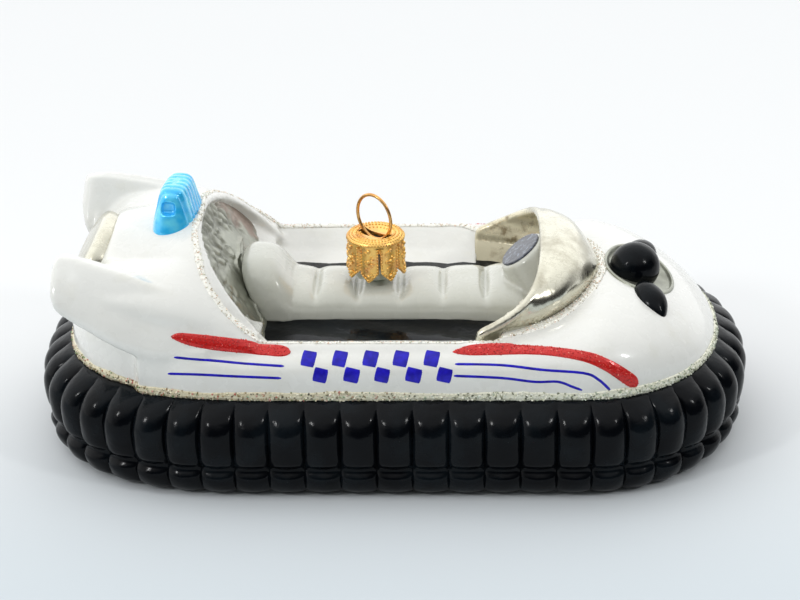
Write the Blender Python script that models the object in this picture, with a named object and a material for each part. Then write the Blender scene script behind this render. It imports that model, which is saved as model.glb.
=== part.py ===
"""A blown-glass tree ornament in the form of a small patrol hovercraft.

Sizes are in millimetres and become metres as each mesh is made. +X is the bow, +Y is port, +Z is up.
The origin is under the middle of the skirt, on the plane that the ornament stands on.
"""
import math
from bisect import bisect_right

import bmesh
import bpy
from mathutils import Matrix, Vector

MM = 0.001

# Driving dimensions
HALF_LENGTH = 63.5
HALF_BEAM = 34.6
BOW_STRAIGHT_X = 32.0
STERN_STRAIGHT_X = -23.0
BOW_ROUND = 2.1
STERN_ROUND = 2.5
SEAM_Z = 17.5
SEAM_INSET = 5.6
GAP = 0.3
HULL_Z = SEAM_Z + GAP
FLOOR_Z = 22.0
ON_FLOOR_Z = FLOOR_Z + GAP

# Skirt
LOBES = 55
# how far past the bow's tip the first groove lies, in lobes
FIRST_GROOVE = 0.893
STEPS_PER_LOBE = 4
LOBE_FULLNESS = 0.6
# height, inset from the widest line, depth of the groove between two lobes
SKIRT_SECTION = (
    (0.0, 4.2, 0.5),
    (1.6, 1.7, 0.9),
    (4.2, 0.6, 1.1),
    (5.9, 1.5, 0.7),
    (7.6, 0.4, 1.3),
    (12.2, 0.0, 1.5),
    (15.2, 1.3, 1.5),
    (16.9, 3.7, 1.0),
    (SEAM_Z, 5.2, 0.3),
)

# Hull: where the cockpit's side walls meet the bow and the stern block
BOW_JOINT_X = 20.0
STERN_JOINT_X = -27.0
# station x, height of the crown, exponent of the section's superellipse
BOW_STATIONS = (
    (BOW_JOINT_X + GAP, 26.0, 5.5),
    (27.0, 26.9, 4.8),
    (33.0, 28.4, 3.9),
    (37.0, 29.4, 3.4),
    (41.0, 29.1, 3.1),
    (44.5, 28.2, 2.9),
    (48.0, 26.6, 2.7),
    (51.5, 24.6, 2.5),
    (54.5, 22.3, 2.4),
    (56.6, 20.2, 2.2),
    (57.6, 18.6, 2.0),
)
STERN_STATIONS = (
    (STERN_JOINT_X - GAP, 26.0, 5.5),
    (-33.0, 27.2, 5.5),
    (-40.0, 28.2, 5.0),
    (-48.0, 28.4, 5.0),
    (-53.0, 28.0, 5.0),
    (-56.2, 27.0, 4.5),
    (-57.5, 24.5, 4.0),
)
SECTION_STEPS = 20

# Cockpit side walls: across from the outside, as (distance from the middle, height)
SILL_TOP = (24.6, 25.9)
SILL_INNER = (23.4, 25.5)
WALL_KNEE = (19.4, 23.2)
FOOT_INNER = (16.0, FLOOR_Z)
SHOULDER_DEGREES = (12.0, 24.0, 34.0, 42.0)
# The floor's tongue under the cowl: x, half width
TONGUE_UNDERSIDE_Z = 20.0
TONGUE_STATIONS = ((26.0, 14.0), (29.0, 9.0))

# Windscreen cowl, as hoops in planes that lean forward
COWL_LEAN = 1.28
COWL_DATUM_Z = 24.7
COWL_WALL = 1.2
# below the sill the cowl's edge runs straight down
COWL_LEG_Z = 25.9
# the hollow starts this far behind the cowl and this far below its feet
COWL_OPENING = 4.0
COWL_CLEARANCE = 2.0
# x at the datum height, half width, height of the foot, height of the top, exponent, underside
COWL_HOOPS = (
    (13.7, 21.8, 24.7, 35.4, 2.45, ON_FLOOR_Z),
    (15.5, 21.1, 24.8, 35.6, 2.4, ON_FLOOR_Z),
    (19.8, 19.7, 25.1, 34.6, 2.35, ON_FLOOR_Z),
    (23.4, 17.9, 25.4, 33.1, 2.3, ON_FLOOR_Z),
    (27.4, 13.9, 26.1, 31.1, 2.2, ON_FLOOR_Z),
    (29.9, 8.0, 27.3, 29.9, 2.1, COWL_LEG_Z),
    (30.7, 3.0, 28.1, 29.5, 2.0, COWL_LEG_Z),
)

# Engine housing, as hoops:
# x at the foot, half width, foot height, top height, lean of the top, exponent, underside
HOUSING_HOOPS = (
    (-20.7, 20.2, 23.9, 38.7, -12.6, 2.35, ON_FLOOR_Z + 0.7),
    (-20.6, 22.0, 24.2, 39.7, -13.6, 2.4, ON_FLOOR_Z),
    (-26.0, 23.6, 24.5, 39.6, -11.0, 2.2, ON_FLOOR_Z),
    (-35.0, 22.4, 25.0, 38.9, -5.0, 2.1, 24.0),
    (-43.0, 19.0, 26.0, 38.3, -2.0, 2.1, 25.0),
    (-50.0, 15.0, 27.0, 37.9, 1.0, 2.2, 26.0),
    (-55.4, 11.0, 27.5, 37.2, 6.2, 2.2, 26.5),
)
# the floor of the recess inside the front hoop, in the same columns
RECESS_HOOP = (-24.0, 19.4, 23.9, 37.9, -10.0, 2.3, ON_FLOOR_Z + 0.8)
BULKHEAD_THICKNESS = 1.2
# the room behind the bulkhead: exponent of its arch, depth
BEHIND_EXPONENT = 8.0
BEHIND_DEPTH = 20.0
OUTLET_HALF_WIDTH = 7.6
OUTLET_HALF_HEIGHT = 4.6
OUTLET_THICKNESS = 0.8
# how far up the housing's aft end its middle lies
OUTLET_RISE = 0.55

# Pods: x, ridge distance and height, lower edge distance and height, thickness, root height
POD_STATIONS = (
    (-57.8, 19.6, 37.0, 22.4, 34.0, 2.0, 34.8),
    (-56.9, 18.9, 38.7, 23.8, 32.2, 2.8, 31.2),
    (-55.0, 19.1, 39.0, 24.4, 30.8, 3.3, 28.8),
    (-52.0, 20.2, 38.5, 25.2, 29.2, 3.8, 27.4),
    (-46.0, 21.6, 37.0, 27.0, 26.4, 4.4, 27.4),
    (-40.0, 22.5, 35.2, 27.6, 24.4, 4.4, 25.4),
    (-34.0, 23.2, 33.2, 27.3, 24.2, 4.4, 25.2),
    (-28.0, 23.8, 30.4, 26.8, 24.2, 4.4, 25.2),
    (-24.0, 24.2, 27.6, 26.0, 24.2, 2.4, 25.2),
)
POD_BELLY = 0.8
POD_ROOT_REACH = 1.4

# Cockpit fittings
# height, centre x, half length, half width
SEAT_BACK_LEVELS = (
    (ON_FLOOR_Z, -21.4, 5.4, 8.4),
    (26.5, -21.7, 5.0, 8.2),
    (29.5, -22.4, 3.9, 7.0),
    (31.6, -23.0, 2.9, 5.4),
    (32.6, -23.2, 1.4, 2.8),
)
SEAT_BACK_ROUND = 2.4
SEAT_BACK_SIDES = 24
SEAT_FRONT_X = 16.0
SEAT_REAR_X = -19.0
SEAT_HALF_WIDTH = 7.8
SEAT_HEIGHT = 5.2
SEAT_ROUND = 3.2
SEAT_SIDES = 12
# the top is scalloped: length of a pad, place of a notch, its depth and how narrow it is
SEAT_PAD = 7.55
SEAT_NOTCH_X = 1.35
SEAT_NOTCH = 0.5
SEAT_NOTCH_POWER = 10
SEAT_STEPS_PER_PAD = 8
# x at the floor, half width, height of the top
CONSOLE_HOOPS = (
    (10.5, 7.0, 33.9),
    (16.0, 6.6, 33.1),
    (20.0, 5.4, 31.3),
)
CONSOLE_ROUND = 3.2
DIAL_CENTRE_Z = 31.7
DIAL_HALF_SLOPE = 3.0
DIAL_HALF_WIDTH = 4.1
DIAL_THICKNESS = 0.7

# Beacon across the housing, a tapered block under a lower block
BEACON_X = -38.4
# height, half width along X, half length along Y
BEACON_BASE = ((36.4, 4.1, 7.5), (38.8, 3.8, 7.2), (41.4, 3.0, 6.0), (43.6, 2.4, 5.0), (44.2, 2.0, 4.6))
BEACON_LAMP = ((44.5, 2.0, 4.2), (45.1, 1.9, 3.9), (45.7, 1.5, 3.3))
BEACON_ROUND = 4.0
BEACON_SIDES = 32

# Foredeck lamps: centre, radii, dip of the outer end and its swing forward in degrees
SEARCH_LAMP = ((43.4, 0.0, 28.5), (4.3, 4.4, 4.3), 0.0, 0.0)
SIDE_LAMP = ((45.4, 11.0, 26.9), (2.8, 4.7, 2.7), 19.0, 24.0)
DISH_CENTRE_X = 44.0
DISH_HALF_LENGTH = 6.0
DISH_HALF_WIDTH = 8.8
DISH_DEPTH = 1.1
DISH_THICKNESS = 1.2
DISH_STEPS = 28
# share of the way out, share of the depth
DISH_SECTION = ((1.0, 0.1), (0.93, 0.85), (0.6, 1.0), (0.3, 1.0))
DISH_UNDERSIDE = (0.4, 0.7, 1.0)

# Hanger
HANGER_X = -3.05
NECK_RADIUS = 3.6
NECK_BORE = 2.9
NECK_TOP_Z = 33.4
NECK_BORE_FLOOR_Z = 28.6
NECK_ROOT_Z = 25.0
NECK_LIP = 0.3
CAP_TOP_Z = 35.5
CAP_PLATE = 0.6
CAP_ROUND = 0.5
CAP_TOP_RADIUS = 5.15
CAP_HEM_RADIUS = 5.25
CAP_WALL = 0.55
CAP_TOOTH_Z = 27.7
CAP_NOTCH_Z = 29.6
CAP_TEETH = 8
STEPS_PER_TOOTH = 6
# direction of one notch between two teeth
CAP_NOTCH_YAW = math.radians(-80.0)
# the wire loop is an upright oval, its centre this far above the cap's plate
RING_HALF_WIDTH = 3.55
RING_HALF_HEIGHT = 4.15
RING_RISE = 3.2
RING_LEAN = 0.07
RING_WIRE = 0.28
RING_STEPS = 32
WIRE_SIDES = 8
RING_YAW = math.radians(-33.0)
SLOT_LENGTH = 6.6
SLOT_WIDTH = 1.4
SLOT_DEPTH = 3.0

# Colours from the photograph: red, green, blue, roughness, metallic
FINISHES = {
    "white": (0.86, 0.87, 0.85, 0.12, 0.0),
    "black": (0.012, 0.012, 0.014, 0.10, 0.0),
    "silver": (0.62, 0.60, 0.54, 0.18, 1.0),
    "blue": (0.02, 0.30, 0.75, 0.08, 0.0),
    "gold": (0.86, 0.60, 0.20, 0.28, 1.0),
    "copper": (0.75, 0.42, 0.16, 0.22, 1.0),
    "glass": (0.75, 0.78, 0.74, 0.08, 0.0),
}


def clear_scene():
    for thing in list(bpy.data.objects):
        bpy.data.objects.remove(thing, do_unlink=True)


def finish(name):
    material = bpy.data.materials.get(name)
    if material:
        return material
    red, green, blue, roughness, metallic = FINISHES[name]
    material = bpy.data.materials.new(name)
    material.use_nodes = True
    shader = material.node_tree.nodes["Principled BSDF"]
    shader.inputs["Base Color"].default_value = (red, green, blue, 1.0)
    shader.inputs["Roughness"].default_value = roughness
    shader.inputs["Metallic"].default_value = metallic
    return material


def add_object(name, bm, finish_name, matrix=None):
    """Turn a millimetre bmesh into an object in metres."""
    if matrix is not None:
        bmesh.ops.transform(bm, matrix=matrix, verts=bm.verts)
    bmesh.ops.recalc_face_normals(bm, faces=bm.faces)
    if bm.calc_volume(signed=True) < 0.0:
        bmesh.ops.reverse_faces(bm, faces=bm.faces)
    bmesh.ops.scale(bm, vec=(MM, MM, MM), verts=bm.verts)
    mesh = bpy.data.meshes.new(name)
    bm.to_mesh(mesh)
    bm.free()
    mesh.materials.append(finish(finish_name))
    mesh.shade_smooth()
    mesh.set_sharp_from_angle(angle=math.radians(40.0))
    thing = bpy.data.objects.new(name, mesh)
    bpy.context.scene.collection.objects.link(thing)
    return thing


def loft(name, rings, finish_name):
    """A closed solid through rings of equal point counts, with its two ends filled."""
    bm = bmesh.new()
    rows = [[bm.verts.new(point) for point in ring] for ring in rings]
    count = len(rows[0])
    for low, high in zip(rows, rows[1:]):
        for k in range(count):
            after = (k + 1) % count
            bm.faces.new((low[k], low[after], high[after], high[k]))
    bm.faces.new(rows[0])
    bm.faces.new(rows[-1])
    return add_object(name, bm, finish_name)


def grown_cutter(thing, gap):
    """A copy of a solid, grown by a gap, that cuts its neighbours."""
    bm = bmesh.new()
    bm.from_mesh(thing.data)
    bm.normal_update()
    moves = [(vert, vert.normal * gap * MM * vert.calc_shell_factor()) for vert in bm.verts]
    for vert, move in moves:
        vert.co += move
    name = f"cutter_{thing.name}"
    mesh = bpy.data.meshes.new(name)
    bm.to_mesh(mesh)
    bm.free()
    cutter = bpy.data.objects.new(name, mesh)
    bpy.context.scene.collection.objects.link(cutter)
    mark_as_cutter(cutter)
    return cutter


def mark_as_cutter(cutter):
    cutter.hide_render = True
    cutter.display_type = "WIRE"


def cut(thing, cutter):
    modifier = thing.modifiers.new(f"less {cutter.name}", "BOOLEAN")
    modifier.operation = "DIFFERENCE"
    modifier.solver = "EXACT"
    modifier.object = cutter


def carve(thing, neighbours):
    """Cut a piece back to its neighbours' surfaces, leaving the gap of touching pieces."""
    for neighbour in neighbours:
        cut(thing, grown_cutter(neighbour, GAP))


def superellipse(angle, exponent):
    across, up = math.cos(angle), math.sin(angle)
    power = 2.0 / exponent
    return math.copysign(abs(across) ** power, across), math.copysign(abs(up) ** power, up)


def between(stations, x, column):
    """A column of a station table at x, along straight lines between the stations."""
    rows = sorted(stations)
    x = min(max(x, rows[0][0]), rows[-1][0])
    for low, high in zip(rows, rows[1:]):
        if x <= high[0]:
            share = (x - low[0]) / (high[0] - low[0])
            return low[column] + share * (high[column] - low[column])
    return rows[-1][column]


def half_outline(steps=400):
    """The port half of the plan from bow to stern: x, y per unit of beam, x share of the inset."""
    quarter = math.pi / 2.0
    points = []
    for k in range(steps + 1):
        along, across = superellipse(quarter * k / steps, BOW_ROUND)
        points.append((BOW_STRAIGHT_X + along * (HALF_LENGTH - BOW_STRAIGHT_X), across, along))
    for k in range(1, steps):
        share = k / steps
        points.append((BOW_STRAIGHT_X + share * (STERN_STRAIGHT_X - BOW_STRAIGHT_X), 1.0, 0.0))
    for k in range(steps + 1):
        along, across = superellipse(quarter * (1.0 + k / steps), STERN_ROUND)
        points.append((STERN_STRAIGHT_X + along * (HALF_LENGTH + STERN_STRAIGHT_X), across, along))
    return points


def outline(count, start):
    """Count points evenly spaced round the plan, from a share of the way round, in half_outline's terms."""
    port = half_outline()
    loop = port + [(x, -across, along) for x, across, along in reversed(port[1:-1])]
    lengths = [0.0]
    for (x0, y0, _), (x1, y1, _) in zip(loop, loop[1:] + loop[:1]):
        lengths.append(lengths[-1] + math.hypot(x1 - x0, (y1 - y0) * HALF_BEAM))
    points = []
    for step in range(count):
        target = lengths[-1] * ((start + step / count) % 1.0)
        k = min(bisect_right(lengths, target), len(loop)) - 1
        share = (target - lengths[k]) / (lengths[k + 1] - lengths[k])
        here, after = loop[k], loop[(k + 1) % len(loop)]
        points.append(tuple(a + share * (b - a) for a, b in zip(here, after)))
    return points


def plan_half_width(x, inset):
    """Half the width of the plan at x, with the whole outline moved in by the inset."""
    if x > BOW_STRAIGHT_X:
        share = (x - BOW_STRAIGHT_X) / (HALF_LENGTH - inset - BOW_STRAIGHT_X)
        exponent = BOW_ROUND
    elif x < STERN_STRAIGHT_X:
        share = (STERN_STRAIGHT_X - x) / (HALF_LENGTH - inset + STERN_STRAIGHT_X)
        exponent = STERN_ROUND
    else:
        share, exponent = 0.0, 2.0
    return (HALF_BEAM - inset) * max(0.0, 1.0 - share ** exponent) ** (1.0 / exponent)


def make_skirt():
    points = outline(LOBES * STEPS_PER_LOBE, FIRST_GROOVE / LOBES)
    rings = []
    for height, inset, groove in SKIRT_SECTION:
        ring = []
        for k, (x, across, along) in enumerate(points):
            phase = (k / STEPS_PER_LOBE) % 1.0
            lobe = math.sin(math.pi * phase) ** LOBE_FULLNESS
            inward = inset + groove * (1.0 - lobe)
            ring.append((x - along * inward, across * (HALF_BEAM - inward), height))
        rings.append(ring)
    return loft("skirt", rings, "black")


def deck_height(stations, x, y):
    """Height of the hull's top at a point in plan."""
    half_width = plan_half_width(x, SEAM_INSET)
    exponent = between(stations, x, 2)
    rise = between(stations, x, 1) - HULL_Z
    return HULL_Z + rise * max(0.0, 1.0 - (abs(y) / half_width) ** exponent) ** (1.0 / exponent)


def make_hull_end(name, stations):
    rings = []
    for x, crown, exponent in stations:
        half_width = plan_half_width(x, SEAM_INSET)
        ring = []
        for k in range(SECTION_STEPS + 1):
            across, up = superellipse(math.pi * k / SECTION_STEPS, exponent)
            ring.append((x, half_width * across, HULL_Z + (crown - HULL_Z) * up))
        rings.append(ring)
    return loft(name, rings, "white")


def make_side(name, side):
    """A cockpit side wall: outer face, rounded sill, and the slope down to the floor."""
    half_width = HALF_BEAM - SEAM_INSET
    crown, exponent = BOW_STATIONS[0][1:]
    profile = [(half_width, HULL_Z)]
    for degrees in SHOULDER_DEGREES:
        across, up = superellipse(math.radians(degrees), exponent)
        profile.append((half_width * across, HULL_Z + (crown - HULL_Z) * up))
    profile += [SILL_TOP, SILL_INNER, WALL_KNEE, FOOT_INNER]
    profile.append((FOOT_INNER[0], HULL_Z))
    rings = []
    for x in (STERN_JOINT_X, -20.0, 0.0, BOW_JOINT_X):
        narrowing = half_width - plan_half_width(x, SEAM_INSET)
        rings.append([(x, side * (y - narrowing), z) for y, z in profile])
    return loft(name, rings, "white")


def make_floor():
    """The black floor, with a tongue that runs forward under the cowl."""
    half_width = FOOT_INNER[0] - 2.0 * GAP
    # x, half width, underside
    stations = [
        (STERN_JOINT_X, half_width, HULL_Z),
        (BOW_JOINT_X - GAP, half_width, HULL_Z),
        (BOW_JOINT_X, half_width, TONGUE_UNDERSIDE_Z),
    ]
    stations += [(x, half, TONGUE_UNDERSIDE_Z) for x, half in TONGUE_STATIONS]
    rings = []
    for x, half, low in stations:
        rings.append([(x, -half, low), (x, half, low), (x, half, FLOOR_Z), (x, -half, FLOOR_Z)])
    return loft("cockpit_floor", rings, "black")


def leaning_hoop(x, half_width, foot_z, top_z, exponent, lean, bottom_z, datum_z, leg_z=0.0, steps=20):
    """An arch with its two legs run down to bottom_z, in a plane that leans by lean per unit of height.

    Below leg_z the legs are upright.
    """
    points = []
    for k in range(steps + 1):
        across, up = superellipse(math.pi * k / steps, exponent)
        points.append((half_width * across, foot_z + (top_z - foot_z) * up))
    points += [(-half_width, bottom_z), (half_width, bottom_z)]
    return [(x + lean * (max(z, leg_z) - datum_z), y, z) for y, z in points]


def make_cowl():
    """The silver cowl: an outer form less an inner one that opens aft."""
    outer = []
    for x, half_width, foot_z, top_z, exponent, underside in COWL_HOOPS:
        outer.append(leaning_hoop(x, half_width, foot_z, top_z, exponent, COWL_LEAN,
                                  underside, COWL_DATUM_Z, COWL_LEG_Z))
    cowl = loft("windscreen", outer, "silver")
    inner = []
    for index, (x, half_width, foot_z, top_z, exponent, _) in enumerate(COWL_HOOPS[:-2]):
        start = -COWL_OPENING if index == 0 else 0.0
        inner.append(leaning_hoop(x + start, half_width - COWL_WALL, foot_z, top_z - COWL_WALL, exponent,
                                  COWL_LEAN, ON_FLOOR_Z - COWL_CLEARANCE, COWL_DATUM_Z, COWL_LEG_Z))
    hollow = loft("cutter_cowl_inside", inner, "silver")
    mark_as_cutter(hollow)
    return cowl, hollow


def make_housing():
    """The white engine housing: a cup whose open front is the cockpit's rear hoop."""
    def hoop(row, shift=0.0, shrink=0.0):
        x, half_width, foot_z, top_z, lean, exponent, underside = row
        return leaning_hoop(x + shift, half_width - shrink, foot_z, top_z - shrink, exponent,
                            lean / (top_z - foot_z), underside + shrink, foot_z)
    rings = [hoop(row) for row in (RECESS_HOOP,) + HOUSING_HOOPS]
    housing = loft("engine_housing", rings, "white")
    plate = [hoop(RECESS_HOOP, shift, GAP) for shift in (GAP, GAP + BULKHEAD_THICKNESS)]
    loft("fan_bulkhead", plate, "silver")
    x, half_width, foot_z, top_z, lean, _, _ = RECESS_HOOP
    face_x = x + 2.0 * GAP + BULKHEAD_THICKNESS
    behind = [leaning_hoop(face_x + shift, half_width, foot_z, top_z, BEHIND_EXPONENT,
                           lean / (top_z - foot_z), FLOOR_Z, foot_z) for shift in (0.0, -BEHIND_DEPTH)]
    behind_bulkhead = loft("cutter_behind_bulkhead", behind, "silver")
    mark_as_cutter(behind_bulkhead)
    return housing, behind_bulkhead


def make_outlet():
    """The silver fan outlet, an oval plate on the housing's sloping aft end."""
    x, _, foot_z, top_z, lean, _, _ = HOUSING_HOOPS[-1]
    slope = Vector((lean, 0.0, top_z - foot_z)).normalized()
    centre = Vector((x + lean * OUTLET_RISE, 0.0, foot_z + (top_z - foot_z) * OUTLET_RISE))
    return oval_plate("fan_outlet", centre, slope, OUTLET_HALF_HEIGHT, OUTLET_HALF_WIDTH,
                      OUTLET_THICKNESS, Vector((-slope.z, 0.0, slope.x)), "silver")


def oval_plate(name, centre, slope, half_slope, half_width, thickness, normal, finish_name, steps=28):
    rings = []
    for lift in (GAP, GAP + thickness):
        ring = []
        for k in range(steps):
            angle = 2.0 * math.pi * k / steps
            point = centre + slope * half_slope * math.sin(angle) + normal * lift
            ring.append((point.x, half_width * math.cos(angle), point.z))
        rings.append(ring)
    return loft(name, rings, finish_name)


def make_pod(name, side):
    rings = []
    for x, ridge_y, ridge_z, low_y, low_z, thickness, root_z in POD_STATIONS:
        profile = (
            (ridge_y, ridge_z),
            ((ridge_y + low_y) / 2.0 + POD_BELLY, (ridge_z + low_z) / 2.0),
            (low_y, low_z),
            (low_y - thickness, low_z - POD_BELLY),
            (ridge_y - POD_ROOT_REACH * thickness, root_z),
            (ridge_y - thickness, ridge_z - POD_BELLY),
            (ridge_y - thickness / 2.0, ridge_z + POD_BELLY / 4.0),
        )
        rings.append([(x, side * y, z) for y, z in profile])
    return loft(name, rings, "white")


def make_seat():
    """The saddle, whose top is scalloped into pads."""
    rings = []
    pitch = SEAT_PAD / SEAT_STEPS_PER_PAD
    first = math.ceil((SEAT_REAR_X - SEAT_NOTCH_X) / pitch)
    last = math.floor((SEAT_FRONT_X - SEAT_NOTCH_X) / pitch)
    for k in range(first, last + 1):
        x = SEAT_NOTCH_X + k * pitch
        notch = SEAT_NOTCH * abs(math.cos(math.pi * k / SEAT_STEPS_PER_PAD)) ** SEAT_NOTCH_POWER
        ring = []
        for j in range(SEAT_SIDES + 1):
            across, up = superellipse(math.pi * j / SEAT_SIDES, SEAT_ROUND)
            ring.append((x, (SEAT_HALF_WIDTH - notch) * across,
                         ON_FLOOR_Z + (SEAT_HEIGHT - notch) * up))
        rings.append(ring)
    return loft("seat", rings, "white")


def make_seat_back():
    rings = []
    for height, centre_x, half_length, half_width in SEAT_BACK_LEVELS:
        ring = []
        for k in range(SEAT_BACK_SIDES):
            along, across = superellipse(2.0 * math.pi * k / SEAT_BACK_SIDES, SEAT_BACK_ROUND)
            ring.append((centre_x + half_length * along, half_width * across, height))
        rings.append(ring)
    return loft("seat_back", rings, "white")


def make_console():
    """The steering console, and the dial on its sloping top."""
    rings = [leaning_hoop(x, half_width, ON_FLOOR_Z, top_z, CONSOLE_ROUND, COWL_LEAN,
                          ON_FLOOR_Z, ON_FLOOR_Z)[:-2] for x, half_width, top_z in CONSOLE_HOOPS]
    console = loft("console", rings, "white")
    slope = Vector((COWL_LEAN, 0.0, 1.0)).normalized()
    centre = Vector((CONSOLE_HOOPS[0][0] + COWL_LEAN * (DIAL_CENTRE_Z - ON_FLOOR_Z), 0.0, DIAL_CENTRE_Z))
    dial = oval_plate("console_dial", centre, slope, DIAL_HALF_SLOPE, DIAL_HALF_WIDTH,
                      DIAL_THICKNESS, Vector((-slope.z, 0.0, slope.x)), "black")
    return console, dial


def beacon_tier(name, levels):
    rings = []
    for height, half_width, half_length in levels:
        ring = []
        for k in range(BEACON_SIDES):
            across, along = superellipse(2.0 * math.pi * k / BEACON_SIDES, BEACON_ROUND)
            ring.append((BEACON_X + half_width * across, half_length * along, height))
        rings.append(ring)
    return loft(name, rings, "blue")


def make_lamp(name, lamp, side):
    (x, y, z), radii, dip, swing = lamp
    bm = bmesh.new()
    bmesh.ops.create_uvsphere(bm, u_segments=20, v_segments=12, radius=1.0)
    matrix = Matrix.Translation((x, side * y, z))
    matrix @= Matrix.Rotation(math.radians(-side * swing), 4, "Z")
    matrix @= Matrix.Rotation(math.radians(-side * dip), 4, "X")
    return add_object(name, bm, "black", matrix @ Matrix.Diagonal((*radii, 1.0)))


def dish_row(bm, share, lift, grow=0.0):
    """A ring of the oval at a share of its size, at a height above the foredeck."""
    row = []
    for k in range(DISH_STEPS):
        angle = 2.0 * math.pi * k / DISH_STEPS
        x = DISH_CENTRE_X + (share * DISH_HALF_LENGTH + grow) * math.cos(angle)
        y = (share * DISH_HALF_WIDTH + grow) * math.sin(angle)
        row.append(bm.verts.new((x, y, deck_height(BOW_STATIONS, x, y) + lift)))
    return row


def close_rows(bm, rows):
    """Faces between neighbouring rings, and one across each end."""
    for row, other in zip(rows, rows[1:]):
        for k in range(DISH_STEPS):
            after = (k + 1) % DISH_STEPS
            bm.faces.new((row[k], row[after], other[after], other[k]))
    bm.faces.new(rows[0])
    bm.faces.new(rows[-1])


def make_dish():
    """The silver dish sunk in the foredeck round the lamps."""
    bm = bmesh.new()
    rows = [dish_row(bm, share, -DISH_DEPTH - DISH_THICKNESS) for share in DISH_UNDERSIDE]
    rows += [dish_row(bm, share, -DISH_DEPTH * depth) for share, depth in DISH_SECTION]
    close_rows(bm, rows)
    return add_object("lamp_bezel", bm, "silver")


def dish_column(name, grow):
    """A cutter through the foredeck over the dish, wider than the dish by grow."""
    bm = bmesh.new()
    low = -DISH_DEPTH - DISH_THICKNESS - grow
    rows = [dish_row(bm, share, low, share * grow) for share in DISH_UNDERSIDE]
    rows += [dish_row(bm, share, DISH_DEPTH, share * grow) for share in reversed(DISH_UNDERSIDE)]
    close_rows(bm, rows)
    column = add_object(name, bm, "silver")
    mark_as_cutter(column)
    return column


def lathe(name, profile, finish_name, steps=32):
    """A solid turned about the hanger's axis from (radius, height) points."""
    bm = bmesh.new()
    rows = []
    for radius, height in profile:
        if radius == 0.0:
            rows.append([bm.verts.new((0.0, 0.0, height))])
            continue
        row = []
        for k in range(steps):
            angle = 2.0 * math.pi * k / steps
            row.append(bm.verts.new((radius * math.cos(angle), radius * math.sin(angle), height)))
        rows.append(row)
    for low, high in zip(rows, rows[1:]):
        for k in range(steps):
            after = (k + 1) % steps
            if len(low) == 1:
                bm.faces.new((low[0], high[after], high[k]))
            elif len(high) == 1:
                bm.faces.new((low[k], low[after], high[0]))
            else:
                bm.faces.new((low[k], low[after], high[after], high[k]))
    return add_object(name, bm, finish_name, Matrix.Translation((HANGER_X, 0.0, 0.0)))


def make_neck():
    profile = (
        (0.0, NECK_ROOT_Z),
        (NECK_RADIUS, NECK_ROOT_Z),
        (NECK_RADIUS, NECK_TOP_Z - NECK_LIP),
        (NECK_RADIUS - NECK_LIP / 2.0, NECK_TOP_Z),
        (NECK_BORE + NECK_LIP / 2.0, NECK_TOP_Z),
        (NECK_BORE, NECK_TOP_Z - NECK_LIP),
        (NECK_BORE, NECK_BORE_FLOOR_Z),
        (0.0, NECK_BORE_FLOOR_Z),
    )
    return lathe("cap_neck", profile, "glass")


def make_cap():
    """The crimped cap: a cup with a toothed hem, and a slot for the wire."""
    segments = CAP_TEETH * STEPS_PER_TOOTH
    half_tooth = STEPS_PER_TOOTH / 2.0
    bm = bmesh.new()
    # radius, height, share of the tooth's rise
    profile = (
        (CAP_HEM_RADIUS - CAP_WALL, CAP_TOOTH_Z, 1.0),
        (CAP_HEM_RADIUS, CAP_TOOTH_Z, 1.0),
        (CAP_TOP_RADIUS, CAP_TOP_Z - CAP_ROUND, 0.0),
        (CAP_TOP_RADIUS - CAP_ROUND / 2.0, CAP_TOP_Z, 0.0),
        (0.0, CAP_TOP_Z, 0.0),
        (0.0, CAP_TOP_Z - CAP_PLATE, 0.0),
        (CAP_TOP_RADIUS - CAP_WALL - CAP_ROUND / 2.0, CAP_TOP_Z - CAP_PLATE, 0.0),
    )
    rows = []
    for radius, height, tooth in profile:
        if radius == 0.0:
            rows.append([bm.verts.new((0.0, 0.0, height))])
            continue
        row = []
        for k in range(segments):
            angle = CAP_NOTCH_YAW + 2.0 * math.pi * k / segments
            up = abs(k % STEPS_PER_TOOTH - half_tooth) / half_tooth
            rise = up * (CAP_NOTCH_Z - CAP_TOOTH_Z) * tooth
            row.append(bm.verts.new((radius * math.cos(angle), radius * math.sin(angle), height + rise)))
        rows.append(row)
    for low, high in zip(rows, rows[1:] + rows[:1]):
        if len(low) == 1 and len(high) == 1:
            continue
        for k in range(segments):
            after = (k + 1) % segments
            if len(low) == 1:
                bm.faces.new((low[0], high[after], high[k]))
            elif len(high) == 1:
                bm.faces.new((low[k], low[after], high[0]))
            else:
                bm.faces.new((low[k], low[after], high[after], high[k]))
    cap = add_object("hanger_cap", bm, "gold", Matrix.Translation((HANGER_X, 0.0, 0.0)))
    bm = bmesh.new()
    bmesh.ops.create_cube(bm, size=1.0)
    place = Matrix.Translation((HANGER_X, 0.0, CAP_TOP_Z)) @ Matrix.Rotation(RING_YAW, 4, "Z")
    size = Matrix.Diagonal((SLOT_LENGTH, SLOT_WIDTH, SLOT_DEPTH, 1.0))
    slot = add_object("cutter_slot", bm, "gold", place @ size)
    mark_as_cutter(slot)
    cut(cap, slot)
    return cap


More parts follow.
